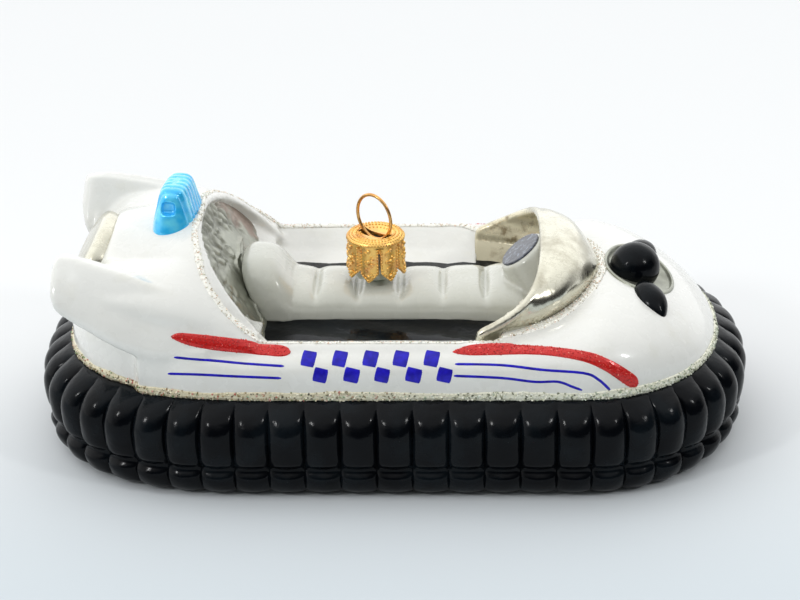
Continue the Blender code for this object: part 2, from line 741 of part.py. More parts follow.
def make_ring():
    """The wire loop, whose lowest arc passes under the cap's top through the slot."""
    centre = Vector((HANGER_X, 0.0, CAP_TOP_Z - CAP_PLATE / 2.0 + RING_RISE))
    along = Vector((math.cos(RING_YAW), math.sin(RING_YAW), 0.0))
    across = Vector((-along.y, along.x, 0.0))
    up = Vector((0.0, 0.0, 1.0))
    bm = bmesh.new()
    rows = []
    for k in range(RING_STEPS):
        angle = 2.0 * math.pi * k / RING_STEPS
        height = RING_HALF_HEIGHT * math.sin(angle)
        aside = RING_HALF_WIDTH * math.cos(angle) - RING_LEAN * (RING_RISE + height)
        point = centre + along * aside + up * height
        out = (along * math.cos(angle) / RING_HALF_WIDTH + up * math.sin(angle) / RING_HALF_HEIGHT).normalized()
        row = []
        for j in range(WIRE_SIDES):
            turn = 2.0 * math.pi * j / WIRE_SIDES
            row.append(bm.verts.new(point + (out * math.cos(turn) + across * math.sin(turn)) * RING_WIRE))
        rows.append(row)
    for row, other in zip(rows, rows[1:] + rows[:1]):
        for j in range(WIRE_SIDES):
            after = (j + 1) % WIRE_SIDES
            bm.faces.new((row[j], row[after], other[after], other[j]))
    return add_object("hanger_ring", bm, "copper")


def main():
    clear_scene()
    make_skirt()
    bow = make_hull_end("bow_hull", BOW_STATIONS)
    stern = make_hull_end("stern_hull", STERN_STATIONS)
    sides = [make_side("starboard_side", -1.0), make_side("port_side", 1.0)]
    floor = make_floor()
    cowl, cowl_hollow = make_cowl()
    housing, behind_bulkhead = make_housing()
    make_outlet()
    pods = [make_pod("starboard_pod", -1.0), make_pod("port_pod", 1.0)]
    seat = make_seat()
    seat_back = make_seat_back()
    console, _ = make_console()
    base = beacon_tier("beacon_base", BEACON_BASE)
    beacon_tier("beacon_lamp", BEACON_LAMP)
    dish = make_dish()
    lamps = [make_lamp("search_lamp", SEARCH_LAMP, 1.0), make_lamp("starboard_lamp", SIDE_LAMP, -1.0),
             make_lamp("port_lamp", SIDE_LAMP, 1.0)]
    neck = make_neck()
    make_cap()
    make_ring()

    cut(bow, dish_column("cutter_recess", GAP))
    deck = grown_cutter(bow, GAP)
    cut(deck, dish_column("cutter_over_dish", -GAP))
    carve(bow, [cowl, floor])
    for side in sides:
        carve(side, [cowl, housing])
    carve(housing, [stern])
    for pod, side in zip(pods, sides):
        carve(pod, [stern, housing, side])
    cut(seat_back, behind_bulkhead)
    carve(seat_back, [housing])
    carve(seat, [seat_back, console])
    carve(base, [housing])
    for lamp in lamps:
        carve(lamp, [dish])
        cut(lamp, deck)
    carve(neck, [seat])
    cut(cowl, cowl_hollow)


main()
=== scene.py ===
# %% [markdown]
# A blown glass tree ornament, dressed for its picture
#
# The ornament is a small patrol hovercraft, blown in a mould, silvered inside and painted by hand.
# The CAD part gives its solids and its joints. This lesson builds the fine skins, the paint and the
# light around that part, one step at a time. Sizes are in millimetres and become metres as each mesh
# is made. +X is the bow, +Y is port, +Z is up.

import math
import random

import bmesh
import bpy
import numpy as np
from mathutils import Matrix, Vector
from mathutils.bvhtree import BVHTree


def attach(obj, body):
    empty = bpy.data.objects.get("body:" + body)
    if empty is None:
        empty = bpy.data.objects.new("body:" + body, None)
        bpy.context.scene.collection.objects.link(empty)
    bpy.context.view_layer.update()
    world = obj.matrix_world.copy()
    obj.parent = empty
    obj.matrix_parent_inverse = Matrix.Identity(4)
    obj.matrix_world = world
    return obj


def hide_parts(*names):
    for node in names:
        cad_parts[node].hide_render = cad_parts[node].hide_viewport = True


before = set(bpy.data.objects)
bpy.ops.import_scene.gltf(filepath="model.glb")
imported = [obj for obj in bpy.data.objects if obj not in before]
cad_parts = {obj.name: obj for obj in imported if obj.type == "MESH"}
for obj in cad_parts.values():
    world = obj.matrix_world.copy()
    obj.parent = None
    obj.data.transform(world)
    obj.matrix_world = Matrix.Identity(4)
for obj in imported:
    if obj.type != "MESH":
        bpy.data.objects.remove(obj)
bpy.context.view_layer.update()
MM = 0.001
SHELL = "ornament"

# %% [markdown]
# The camera comes first, because every later choice is judged through it. The photograph was taken a
# little above the ornament and almost square to its side, from about 40 cm, so the far side is only
# slightly smaller than the near one. A turn of one degree about the view keeps the picture's own tilt.

# %% Camera
VIEW_TURN = math.radians(2.0)
VIEW_RISE = math.radians(26.3)
VIEW_ROLL = math.radians(1.0)
VIEW_DISTANCE = 0.417
VIEW_TARGET = Vector((0.0011, 0.0, 0.022))
VIEW_REACH = (0.01, 20.0)
PIXELS_PER_MM = 5.54
PICTURE_WIDTH = 800
SENSOR = 36.0


def put(name, data):
    """An object in the scene, at the origin and unturned."""
    thing = bpy.data.objects.new(name, data)
    bpy.context.scene.collection.objects.link(thing)
    return thing


def make_camera():
    back = Vector((math.sin(VIEW_TURN) * math.cos(VIEW_RISE), -math.cos(VIEW_TURN) * math.cos(VIEW_RISE),
                   math.sin(VIEW_RISE)))
    right = Vector((math.cos(VIEW_TURN), math.sin(VIEW_TURN), 0.0))
    up = back.cross(right)
    across = right * math.cos(VIEW_ROLL) - up * math.sin(VIEW_ROLL)
    upward = right * math.sin(VIEW_ROLL) + up * math.cos(VIEW_ROLL)
    camera = put("camera", bpy.data.cameras.new("camera"))
    placed = Matrix((across, upward, back)).transposed().to_4x4()
    placed.translation = VIEW_TARGET + back * VIEW_DISTANCE
    camera.matrix_world = placed
    camera.data.sensor_width = SENSOR
    camera.data.lens = VIEW_DISTANCE / MM * PIXELS_PER_MM / PICTURE_WIDTH * SENSOR
    camera.data.clip_start, camera.data.clip_end = VIEW_REACH
    bpy.context.scene.camera = camera
    return camera


print("lens:", round(make_camera().data.lens, 2), "mm")

# %% [markdown]
# A node tree can be written as a sum. The class below holds one output socket, and each operator used
# on it adds a Math node. One more class holds a tree, and its node method makes any other node: first
# its settings, then the values or links of its sockets.

# %% Node trees as expressions
MIX_SOCKETS = {"FLOAT": (2, 3, 0), "RGBA": (6, 7, 2)}


class Wire:
    """An output socket that takes part in Python expressions."""

    def __init__(self, tree, socket):
        self.tree, self.socket = tree, socket

    def maths(self, operation, *values):
        return self.tree.node("ShaderNodeMath", dict(enumerate(values)), operation=operation)

    def __add__(self, other):
        return self.maths("ADD", self, other)

    def __sub__(self, other):
        return self.maths("SUBTRACT", self, other)

    def __rsub__(self, other):
        return self.maths("SUBTRACT", other, self)

    def __mul__(self, other):
        return self.maths("MULTIPLY", self, other)

    def __truediv__(self, other):
        return self.maths("DIVIDE", self, other)

    def __rtruediv__(self, other):
        return self.maths("DIVIDE", other, self)

    def __pow__(self, other):
        return self.maths("POWER", self, other)

    def __gt__(self, other):
        return self.maths("GREATER_THAN", self, other)

    __radd__, __rmul__ = __add__, __mul__


class Tree:
    """A node tree with one method that adds any node."""

    def __init__(self, tree):
        self.tree = tree

    def node(self, kind, values=None, out=0, stops=None, **settings):
        made = self.tree.nodes.new(kind)
        for name, value in settings.items():
            setattr(made, name, value)
        if stops:
            ramp = made.color_ramp
            while len(ramp.elements) < len(stops):
                ramp.elements.new(0.5)
            for element, (place, colour) in zip(ramp.elements, stops):
                element.position = place
                element.color = (*colour, 1.0)
        for key, value in (values or {}).items():
            self.feed(made.inputs[key], value)
        return Wire(self, made.outputs[out])

    def feed(self, socket, value):
        if isinstance(value, Wire):
            self.tree.links.new(value.socket, socket)
        else:
            socket.default_value = value

    def split(self, vector):
        """The three parts of a vector."""
        made = self.tree.nodes.new("ShaderNodeSeparateXYZ")
        self.feed(made.inputs[0], vector)
        return [Wire(self, socket) for socket in made.outputs]

    def step(self, value, low, high):
        """0 below low, 1 above high, smooth between."""
        return self.node("ShaderNodeMapRange", {"Value": value, "From Min": low, "From Max": high},
                         interpolation_type="SMOOTHSTEP")

    def mix(self, kind, share, first, second):
        """A Mix node for numbers or colours."""
        a, b, out = MIX_SOCKETS[kind]
        if kind == "RGBA":
            first, second = [c if isinstance(c, Wire) else (*c, 1.0) for c in (first, second)]
        return self.node("ShaderNodeMix", {0: share, a: first, b: second}, out, data_type=kind,
                         clamp_factor=True)

    def vector(self, operation, first, second=None, scale=None):
        values = {0: first}
        if second is not None:
            values[1] = second
        if scale is not None:
            values["Scale"] = scale
        return self.node("ShaderNodeVectorMath", values, operation=operation)


print("node trees take:", ", ".join(MIX_SOCKETS))

# %% [markdown]
# A finish is one Principled shader. Glass lacquer is a pigment under a clear gloss, so most finishes
# here use a coat. What is the same all over is set on the shader's own socket, and only what changes
# over the surface is linked. Sizes of patches are in millimetres, because that is how they are seen.

# %% Finishes
class Finish(Tree):
    """A material, with its shader and its surface place at hand."""

    def __init__(self, name, **constants):
        self.material = bpy.data.materials.new(name)
        self.material.use_nodes = True
        super().__init__(self.material.node_tree)
        self.shader = self.tree.nodes["Principled BSDF"]
        for socket, value in constants.items():
            self.set(socket, value)
        self.place = self.node("ShaderNodeTexCoord", out="Object")

    def set(self, socket, value):
        """Set or link one of the shader's sockets, its name written with underscores."""
        self.feed(self.shader.inputs[socket.replace("_", " ")], value)

    def noise(self, size, detail=3.0, roughness=0.5):
        """Soft noise whose patches are about size millimetres across."""
        return self.node("ShaderNodeTexNoise", {"Vector": self.place, "Scale": 1.0 / (size * MM),
                                                "Detail": detail, "Roughness": roughness}, "Fac")

    def attribute(self, name):
        return self.node("ShaderNodeAttribute", out="Fac", attribute_name=name)

    def along(self, axis):
        """The surface place along one axis, in millimetres."""
        return self.split(self.place)[axis] / MM

    def colour(self, value, stops):
        return self.node("ShaderNodeValToRGB", {"Fac": value}, stops=stops)

    def relief(self, height, depth):
        """A Bump node whose depth is in millimetres, on the shader's Normal."""
        self.set("Normal", self.node("ShaderNodeBump", {"Height": height, "Distance": depth * MM,
                                                        "Strength": 1.0}))


finishes = {}
print("finishes so far:", len(finishes))

# %% [markdown]
# White and black lacquer. Both are sprayed or brushed over the silvered glass and baked hard. White
# lies thin in places and lets a little warm grey through, so two slow noises darken it by a few
# hundredths. Black is nearly a mirror. Low waves in its Normal break the reflections up, as the wavy
# glass under it does.

# %% White and black lacquer
WHITE = (0.78, 0.78, 0.74)
# the saddle's white is a darker, warmer copy of the lacquer: partly barer, glassier lacquer, partly painted
# shade for its place down in the cockpit
SHADED_SEAT_WHITE = (0.56, 0.565, 0.50)
WORN = 0.95
THIN = (0.88, 0.87, 0.82)


def white_lacquer(name, colour):
    """Pearl white lacquer over silvered glass, a little warmer and greyer where it lies thin."""
    f = Finish(name, Coat_Weight=0.7, Coat_Roughness=0.05, Coat_IOR=1.45, Specular_IOR_Level=0.35)
    worn = tuple(part * WORN for part in colour)
    base = f.mix("RGBA", f.step(f.noise(14.0), 0.35, 0.7), colour, worn)
    thin = f.step(f.noise(5.0, 4.0), 0.5, 0.8) * 0.5
    f.set("Base_Color", f.mix("RGBA", thin, base, tuple(part * less for part, less in zip(colour, THIN))))
    f.set("Roughness", 0.20 + 0.14 * f.noise(3.0))
    f.relief(f.noise(2.8, 2.0), 0.07)
    return f.material


def black_lacquer():
    """Black lacquer, deep and very glossy, with the small waves of the glass under it."""
    f = Finish("black_lacquer", Specular_IOR_Level=0.09, Coat_Weight=0.07, Coat_Roughness=0.03)
    deep, thin = (0.0015, 0.002, 0.003), (0.004, 0.006, 0.008)
    f.set("Base_Color", f.mix("RGBA", f.step(f.noise(6.0), 0.4, 0.7), deep, thin))
    f.set("Roughness", 0.10 + 0.14 * f.noise(4.0))
    f.relief(f.noise(1.6, 2.5), 0.10)
    return f.material


finishes["white"] = white_lacquer("white_lacquer", WHITE)
finishes["seat"] = white_lacquer("seat_lacquer", SHADED_SEAT_WHITE)
finishes["black"] = black_lacquer()
print("finishes:", ", ".join(finishes))

# %% [markdown]
# Silvered glass. The inside of the shell was rinsed with silver, and where no lacquer covers the glass
# it shows as a dull, warm mirror, clouded and veined with tarnish. The windscreen's inner wall gets painted
# light, paler and yellower for the light that comes through it, and painted shade towards its foot. The fan
# bulkhead is frosted by its pebbled mould, so it gets a greener, rougher silver, with painted shade in the
# grooves and painted rosy light towards port.

# %% Silvered glass
# height of the windscreen's foot, where the inner wall's painted shade gives way to its painted light
FOOT_SHADE_Z = (22.6, 26.2)
# how far to port the painted rosy light on the fan bulkhead starts and is full
ROSY_LIGHT_Y = (4.0, 17.0)


def silvered_glass():
    """Bare silvered glass, with painted light and painted shade on the windscreen's inner wall, found by the
    attribute inside.
    """
    f = Finish("silvered_glass", Coat_Weight=0.35, Coat_Roughness=0.08)
    clouds = f.step(f.noise(6.0, 5.0, 0.62), 0.44, 0.70)
    swirl = f.noise(3.5, 4.0, 0.6) - 0.5
    veins = 1.0 - f.step(swirl * swirl, 0.0, 0.0009)
    tarnish = clouds * 0.6 + veins * 0.22
    outer = f.mix("RGBA", tarnish, (0.66, 0.64, 0.53), (0.42, 0.39, 0.30))
    stains = f.step(f.noise(3.0, 5.0, 0.65), 0.50, 0.66)
    # painted light: the inner wall paler and yellower for the light that comes through the glass, with stains
    # in it
    painted_light_and_stains = f.mix("RGBA", stains, (0.74, 0.68, 0.49), (0.30, 0.24, 0.14))
    # painted shade: the inner wall darker towards its foot
    low = 1.0 - f.step(f.along(2), *FOOT_SHADE_Z)
    painted_light_and_stains = f.mix("RGBA", low * 0.75, painted_light_and_stains, (0.27, 0.24, 0.15))
    inside = f.attribute("inside")
    f.set("Base_Color", f.mix("RGBA", inside, outer, painted_light_and_stains))
    f.set("Metallic", 1.0 - 0.75 * inside)
    f.set("Roughness", 0.20 + 0.20 * clouds)
    f.relief(f.noise(4.0, 3.0), 0.14)
    return f.material


def dull_silver():
    """The frosted silver of the fan bulkhead, with painted shade where the attribute groove says a point lies
    low, and painted rosy light towards port.
    """
    f = Finish("dull_silver", Metallic=0.85, Coat_Weight=0.2, Coat_Roughness=0.15)
    clouds = f.step(f.noise(5.0, 4.0, 0.6), 0.38, 0.72)
    # painted rosy light, towards the port side
    painted_rosy_light = f.step(f.along(1), *ROSY_LIGHT_Y) * f.step(f.noise(6.0), 0.42, 0.55) * 0.6
    grey = f.mix("RGBA", clouds, (0.40, 0.41, 0.345), (0.26, 0.265, 0.22))
    # painted shade: darker where the point lies in a groove
    grey = f.mix("RGBA", f.attribute("groove") * 0.55, grey, (0.09, 0.09, 0.07))
    f.set("Base_Color", f.mix("RGBA", painted_rosy_light, grey, (0.34, 0.21, 0.17)))
    f.set("Roughness", 0.34 + 0.16 * f.noise(2.0))
    f.relief(f.noise(0.9, 3.0), 0.07)
    return f.material


finishes["silver"] = silvered_glass()
finishes["dull"] = dull_silver()
print("finishes:", ", ".join(finishes))

# %% [markdown]
# The small parts. The beacon is clear blue lacquer over silver, so it glows from within. The cap is
# stamped gold foil and the loop copper-gold wire: both are plain metal, pinker or darker in patches.
# The neck under the cap is greenish glass, and the instrument panel is dark paint, scratched through.

# %% Beacon, cap, wire, neck and panel
def blue_lacquer():
    f = Finish("blue_lacquer", Metallic=0.25, Coat_Weight=1.0, Coat_Roughness=0.04)
    pale = f.step(f.noise(2.4, 2.0), 0.36, 0.74)
    f.set("Base_Color", f.mix("RGBA", pale, (0.025, 0.52, 1.0), (0.16, 0.76, 1.0)))
    f.set("Roughness", 0.16 + 0.14 * f.noise(2.0))
    f.relief(f.noise(1.6, 2.0), 0.10)
    return f.material


def gold_foil():
    f = Finish("gold_cap", Metallic=1.0)
    pink = f.step(f.noise(2.4, 4.0), 0.42, 0.72) * 0.8
    f.set("Base_Color", f.mix("RGBA", pink, (0.92, 0.59, 0.18), (0.78, 0.42, 0.17)))
    f.set("Roughness", 0.20 + 0.18 * f.noise(1.0))
    f.relief(f.noise(0.35, 3.0), 0.06)
    return f.material


def copper():
    f = Finish("copper_wire", Metallic=1.0)
    dark = f.step(f.noise(1.5), 0.35, 0.7)
    f.set("Base_Color", f.mix("RGBA", dark, (0.80, 0.46, 0.16), (0.60, 0.30, 0.10)))
    f.set("Roughness", 0.18 + 0.16 * f.noise(0.8))
    return f.material


def clear_glass():
    f = Finish("neck_glass", Transmission_Weight=0.15, IOR=1.5, Coat_Weight=0.8)
    f.set("Base_Color", f.mix("RGBA", f.noise(2.0), (0.66, 0.70, 0.60), (0.54, 0.60, 0.50)))
    f.set("Roughness", 0.08 + 0.10 * f.noise(2.0))
    return f.material


def slate():
    f = Finish("slate_paint", Coat_Weight=0.5, Coat_Roughness=0.1)
    scratch = f.step(f.noise(0.9, 6.0, 0.7), 0.50, 0.68)
    f.set("Base_Color", f.mix("RGBA", scratch, (0.030, 0.036, 0.055), (0.24, 0.27, 0.33)))
    f.set("Metallic", scratch * 0.8)
    f.set("Roughness", 0.30 + 0.2 * f.noise(1.0))
    f.relief(f.noise(0.8, 3.0), 0.08)
    return f.material


finishes["blue"] = blue_lacquer()
finishes["gold"] = gold_foil()
finishes["copper"] = copper()
finishes["glass"] = clear_glass()
finishes["slate"] = slate()
print("finishes:", ", ".join(finishes))

# %% [markdown]
# Paint and glitter. Glitter is crushed glass, strewn on wet glue or wet paint. No two grains have the
# same tint, so each facet carries a random number, and a ramp turns that number into one of the
# colours that the grains have. The seam's glitter is browner towards the stern, where more dirt is in
# the glue. The thin blue lines are plain paint, deeper where the brush left more of it.

# %% Paint and glitter
# x where the seam's glitter is brown, and where it is pale
BROWN_TO_PALE_X = (-35.0, 30.0)
PALE_SEAM = (
    (0.0, (0.05, 0.06, 0.03)), (0.2, (0.42, 0.44, 0.30)), (0.45, (0.78, 0.78, 0.64)),
    (0.6, (0.90, 0.90, 0.80)), (0.8, (0.30, 0.38, 0.25)), (1.0, (0.95, 0.95, 0.88)),
)
BROWN_SEAM = (
    (0.0, (0.02, 0.018, 0.015)), (0.25, (0.40, 0.31, 0.17)), (0.45, (0.66, 0.60, 0.42)),
    (0.6, (0.80, 0.76, 0.60)), (0.75, (0.50, 0.05, 0.05)), (0.88, (0.10, 0.26, 0.07)),
    (1.0, (0.90, 0.86, 0.70)),
)
COCKPIT_LINE = (
    (0.0, (0.42, 0.33, 0.20)), (0.2, (0.74, 0.70, 0.58)), (0.45, (0.86, 0.85, 0.78)),
    (0.7, (0.92, 0.92, 0.88)), (0.88, (0.85, 0.60, 0.46)), (1.0, (0.60, 0.66, 0.50)),
)
RED_GRAINS = (
    (0.0, (0.26, 0.004, 0.004)), (0.5, (0.62, 0.012, 0.010)), (0.9, (0.72, 0.03, 0.02)),
    (1.0, (0.90, 0.35, 0.25)),
)


def glitter(name, stops, shine, stern_stops=None):
    """Loose grains, each with a tint of its own in the attribute tint."""
    f = Finish(name, Coat_Weight=0.3, Coat_Roughness=0.1)
    tint = f.attribute("tint")
    grain = tint + (f.noise(0.35, 2.0) - 0.5) * 0.2
    shade = f.colour(grain, stops)
    if stern_stops:
        astern = 1.0 - f.step(f.along(0), *BROWN_TO_PALE_X)
        shade = f.mix("RGBA", astern, shade, f.colour(grain, stern_stops))
    f.set("Base_Color", shade)
    f.set("Metallic", shine * f.step(tint, 0.05, 0.4))
    f.set("Roughness", 0.16 + 0.3 * f.noise(0.35, 2.0))
    return f.material


def painted(name, colour, deep):
    """A brushed line of paint, darker where the brush left more of it."""
    f = Finish(name, Specular_IOR_Level=0.2, Coat_Weight=0.15, Coat_Roughness=0.08)
    f.set("Base_Color", f.mix("RGBA", f.step(f.noise(1.2), 0.3, 0.7), colour, deep))
    f.set("Roughness", 0.24 + 0.2 * f.noise(0.8))
    f.relief(f.noise(0.6), 0.03)
    return f.material


finishes["seam"] = glitter("seam_glitter", PALE_SEAM, 0.25, BROWN_SEAM)
finishes["line_glitter"] = glitter("cockpit_glitter", COCKPIT_LINE, 0.15)
finishes["red"] = glitter("red_glitter", RED_GRAINS, 0.2)
finishes["line"] = painted("blue_line", (0.018, 0.012, 0.52), (0.010, 0.006, 0.32))
print("finishes:", ", ".join(finishes))

# %% [markdown]
# The glass was blown into a mould, so every form on it is soft: no face is flat and no edge is sharp.
# Each form is first drawn as rows of numbers, then run through by a smooth curve, then skinned with
# quads. Round sections are superellipses: a circle at exponent 2, squarer as the exponent grows.

# %% Curves
def smooth_rows(rows, steps):
    """Rows of numbers, run through by a smooth curve with steps between neighbours."""
    table = np.array(rows, float)
    last = len(table) - 1
    out = []
    for k in range(last):
        before, here, after, beyond = (table[min(max(j, 0), last)] for j in (k - 1, k, k + 1, k + 2))
        for step in range(steps):
            t = step / steps
            out.append(0.5 * (2.0 * here + (after - before) * t
                              + (2.0 * before - 5.0 * here + 4.0 * after - beyond) * t * t
                              + (3.0 * here - before - 3.0 * after + beyond) * t ** 3))
    out.append(table[-1])
    return [tuple(row) for row in out]


FINE_STEPS = 24


def even_path(points, step, ring=False):
    """A smooth line through a few points, with its own points step millimetres apart."""
    table = [tuple(point) for point in points]
    if ring:
        table = table[-1:] + table + table[:2]
    fine = np.array(smooth_rows(table, FINE_STEPS))
    if ring:
        fine = fine[FINE_STEPS:-FINE_STEPS]
    lengths = np.concatenate(([0.0], np.cumsum(np.linalg.norm(np.diff(fine[:, :3], axis=0), axis=1))))
    count = max(3, int(lengths[-1] / step) + 1)
    marks = np.linspace(0.0, lengths[-1], count)
    if ring:
        marks = marks[:-1]
    return np.stack([np.interp(marks, lengths, column) for column in fine.T], axis=1)


def turns(count):
    """The angles that go once round in count equal steps."""
    return [2.0 * math.pi * k / count for k in range(count)]


def superellipse(angle, exponent):
    across, up = math.cos(angle), math.sin(angle)
    power = 2.0 / exponent
    return math.copysign(abs(across) ** power, across), math.copysign(abs(up) ** power, up)


def arch(exponent, steps):
    """Half a superellipse, from foot to foot, as shares of its half width and its height."""
    return [superellipse(math.pi * k / steps, exponent) for k in range(steps + 1)]


print("a square-ish corner at 45 degrees:", [round(share, 3) for share in superellipse(math.pi / 4.0, 3.0)])

# %% [markdown]
# A form is a skin through rings of points. A skin can come out inside out, so its normals are worked
# out afresh and the volume is tested: it is negative when the faces point inwards.

# %% Skins
TOUCHING = 1e-6


def skin(rings):
    """Quads through rings of equal counts, and a face across each end."""
    points = [tuple(point) for ring in rings for point in ring]
    count = len(rings[0])
    faces = []
    for row in range(len(rings) - 1):
        for k in range(count):
            after = (k + 1) % count
            faces.append((row * count + k, row * count + after, (row + 1) * count + after,
                          (row + 1) * count + k))
    faces.append(tuple(range(count)))
    faces.append(tuple(range(len(points) - count, len(points))))
    return points, faces


def face_outwards(bm):
    bmesh.ops.recalc_face_normals(bm, faces=bm.faces)
    if bm.calc_volume(signed=True) < 0.0:
        bmesh.ops.reverse_faces(bm, faces=bm.faces)


def solid(name, *parts):
    """An object in metres from one or more (points, faces), its faces pointing outwards."""
    bm = bmesh.new()
    for points, faces in parts:
        piece = bmesh.new()
        verts = [piece.verts.new(Vector(point) * MM) for point in points]
        for face in faces:
            piece.faces.new([verts[k] for k in face])
        bmesh.ops.remove_doubles(piece, verts=piece.verts, dist=TOUCHING)
        face_outwards(piece)
        mesh = bpy.data.meshes.new("part")
        piece.to_mesh(mesh)
        piece.free()
        bm.from_mesh(mesh)
        bpy.data.meshes.remove(mesh)
    mesh = bpy.data.meshes.new(name)
    bm.to_mesh(mesh)
    bm.free()
    return put(name, mesh)


def lay_in(thing, other):
    """Put another object's mesh into this one's, and delete the other."""
    bm = bmesh.new()
    bm.from_mesh(thing.data)
    bm.from_mesh(other.data)
    bm.to_mesh(thing.data)
    bm.free()
    bpy.data.objects.remove(other)


def bake(thing):
    """Turn an object's modifiers into its plain mesh."""
    bpy.context.view_layer.update()
    mesh = bpy.data.meshes.new_from_object(thing.evaluated_get(bpy.context.evaluated_depsgraph_get()))
    thing.modifiers.clear()
    thing.data = mesh
    return thing


def cut_away(thing, cutter):
    """Take one solid from another, and delete the cutter."""
    modifier = thing.modifiers.new("less", "BOOLEAN")
    modifier.operation = "DIFFERENCE"
    modifier.solver = "EXACT"
    modifier.object = cutter
    bake(thing)
    bpy.data.objects.remove(cutter)


SQUARE = ((0.0, 0.0), (1.0, 0.0), (1.0, 1.0), (0.0, 1.0))
print("faces of a box:", len(skin([[(x, y, z) for x, y in SQUARE] for z in (0.0, 1.0)])[1]))

# %% [markdown]
# Forms that are one piece of glass are laid into each other and rebuilt as one skin on a fine grid of
# voxels. The grid leaves small steps, so the skin is relaxed: each round pulls every point to the
# middle of its neighbours and then pushes it back a little further, which smooths without shrinking.
# Inner corners come out rounded, as the glass itself rounds them.

# %% One skin from many
PULL = 0.5
PUSH = -0.52


def relax(mesh, rounds):
    points = np.zeros(len(mesh.vertices) * 3)
    mesh.vertices.foreach_get("co", points)
    points = points.reshape(-1, 3)
    ends = np.zeros(len(mesh.edges) * 2, int)
    mesh.edges.foreach_get("vertices", ends)
    first, second = ends.reshape(-1, 2).T
    count = np.bincount(first, minlength=len(points)) + np.bincount(second, minlength=len(points))
    for _ in range(rounds):
        for share in (PULL, PUSH):
            middle = np.stack([np.bincount(first, points[second, axis], len(points))
                               + np.bincount(second, points[first, axis], len(points))
                               for axis in range(3)], axis=1) / count[:, None]
            points = points + share * (middle - points)
    mesh.vertices.foreach_set("co", points.ravel())
    mesh.update()


def fuse(thing, voxel, rounds):
    """Rebuild solids that lie in each other as one soft skin."""
    modifier = thing.modifiers.new("voxels", "REMESH")
    modifier.mode = "VOXEL"
    modifier.voxel_size = voxel * MM
    bake(thing)
    relax(thing.data, rounds)
    return thing


def dress(thing, finish, body=SHELL, replaces=(), smooth=True):
    """Give a finished piece its material, its body and the solids it stands for."""
    thing.data.materials.clear()
    thing.data.materials.append(finishes[finish])
    thing.data.polygons.foreach_set("use_smooth", [smooth] * len(thing.data.polygons))
    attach(thing, body)
    if replaces:
        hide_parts(*replaces)
    triangles = sum(len(face.vertices) - 2 for face in thing.data.polygons)
    print(f"{thing.name}: {triangles} triangles")


print("each round leaves a small bump", round((1.0 - PULL) * (1.0 - PUSH), 2), "of its height")

# %% [markdown]
# The plan of the craft is a rounded oblong. Its straight middle and its two rounded ends come from one
# rule, the superellipse, and the skirt, the hull and the glitter on the seam all follow it.

# %% The plan
HALF_LENGTH = 63.5
HALF_BEAM = 34.6
BOW_STRAIGHT_X = 32.0
STERN_STRAIGHT_X = -23.0
BOW_ROUND = 2.1
STERN_ROUND = 2.5
OUTLINE_STEPS = 400
SEAM_Z = 17.5
SEAM_INSET = 5.6


def half_outline():
    """The port half of the plan from bow to stern: x, y as a share of the beam, x share of an inset."""
    quarter, steps = math.pi / 2.0, OUTLINE_STEPS
    points = []
    for k in range(steps + 1):
        along, across = superellipse(quarter * k / steps, BOW_ROUND)
        points.append((BOW_STRAIGHT_X + along * (HALF_LENGTH - BOW_STRAIGHT_X), across, along))
    for k in range(1, steps):
        points.append((BOW_STRAIGHT_X + k / steps * (STERN_STRAIGHT_X - BOW_STRAIGHT_X), 1.0, 0.0))
    for k in range(steps + 1):
        along, across = superellipse(quarter * (1.0 + k / steps), STERN_ROUND)
        points.append((STERN_STRAIGHT_X + along * (HALF_LENGTH + STERN_STRAIGHT_X), across, along))
    return points


def whole_outline():
    port = half_outline()
    return port + [(x, -across, along) for x, across, along in reversed(port[1:-1])]


def plan_half_width(x, inset):
    """Half the width of the plan at x, with the whole outline moved in by the inset."""
    if x > BOW_STRAIGHT_X:
        share, exponent = (x - BOW_STRAIGHT_X) / (HALF_LENGTH - inset - BOW_STRAIGHT_X), BOW_ROUND
    elif x < STERN_STRAIGHT_X:
        share, exponent = (STERN_STRAIGHT_X - x) / (HALF_LENGTH - inset + STERN_STRAIGHT_X), STERN_ROUND
    else:
        return HALF_BEAM - inset
    return (HALF_BEAM - inset) * max(0.0, 1.0 - share ** exponent) ** (1.0 / exponent)


print("outline points:", len(whole_outline()))

# %% [markdown]
# Geometry Nodes make what repeats. This helper builds an empty tree with named inputs, and another one
# runs a tree once on a start mesh and keeps the result as a plain mesh. A start mesh is often a line of
# points with one number for each point, such as the line's width there.

# %% Geometry Nodes helpers
SOCKET_KINDS = {
    "Geometry": "NodeSocketGeometry", "float": "NodeSocketFloat", "int": "NodeSocketInt",
    "object": "NodeSocketObject", "material": "NodeSocketMaterial",
}


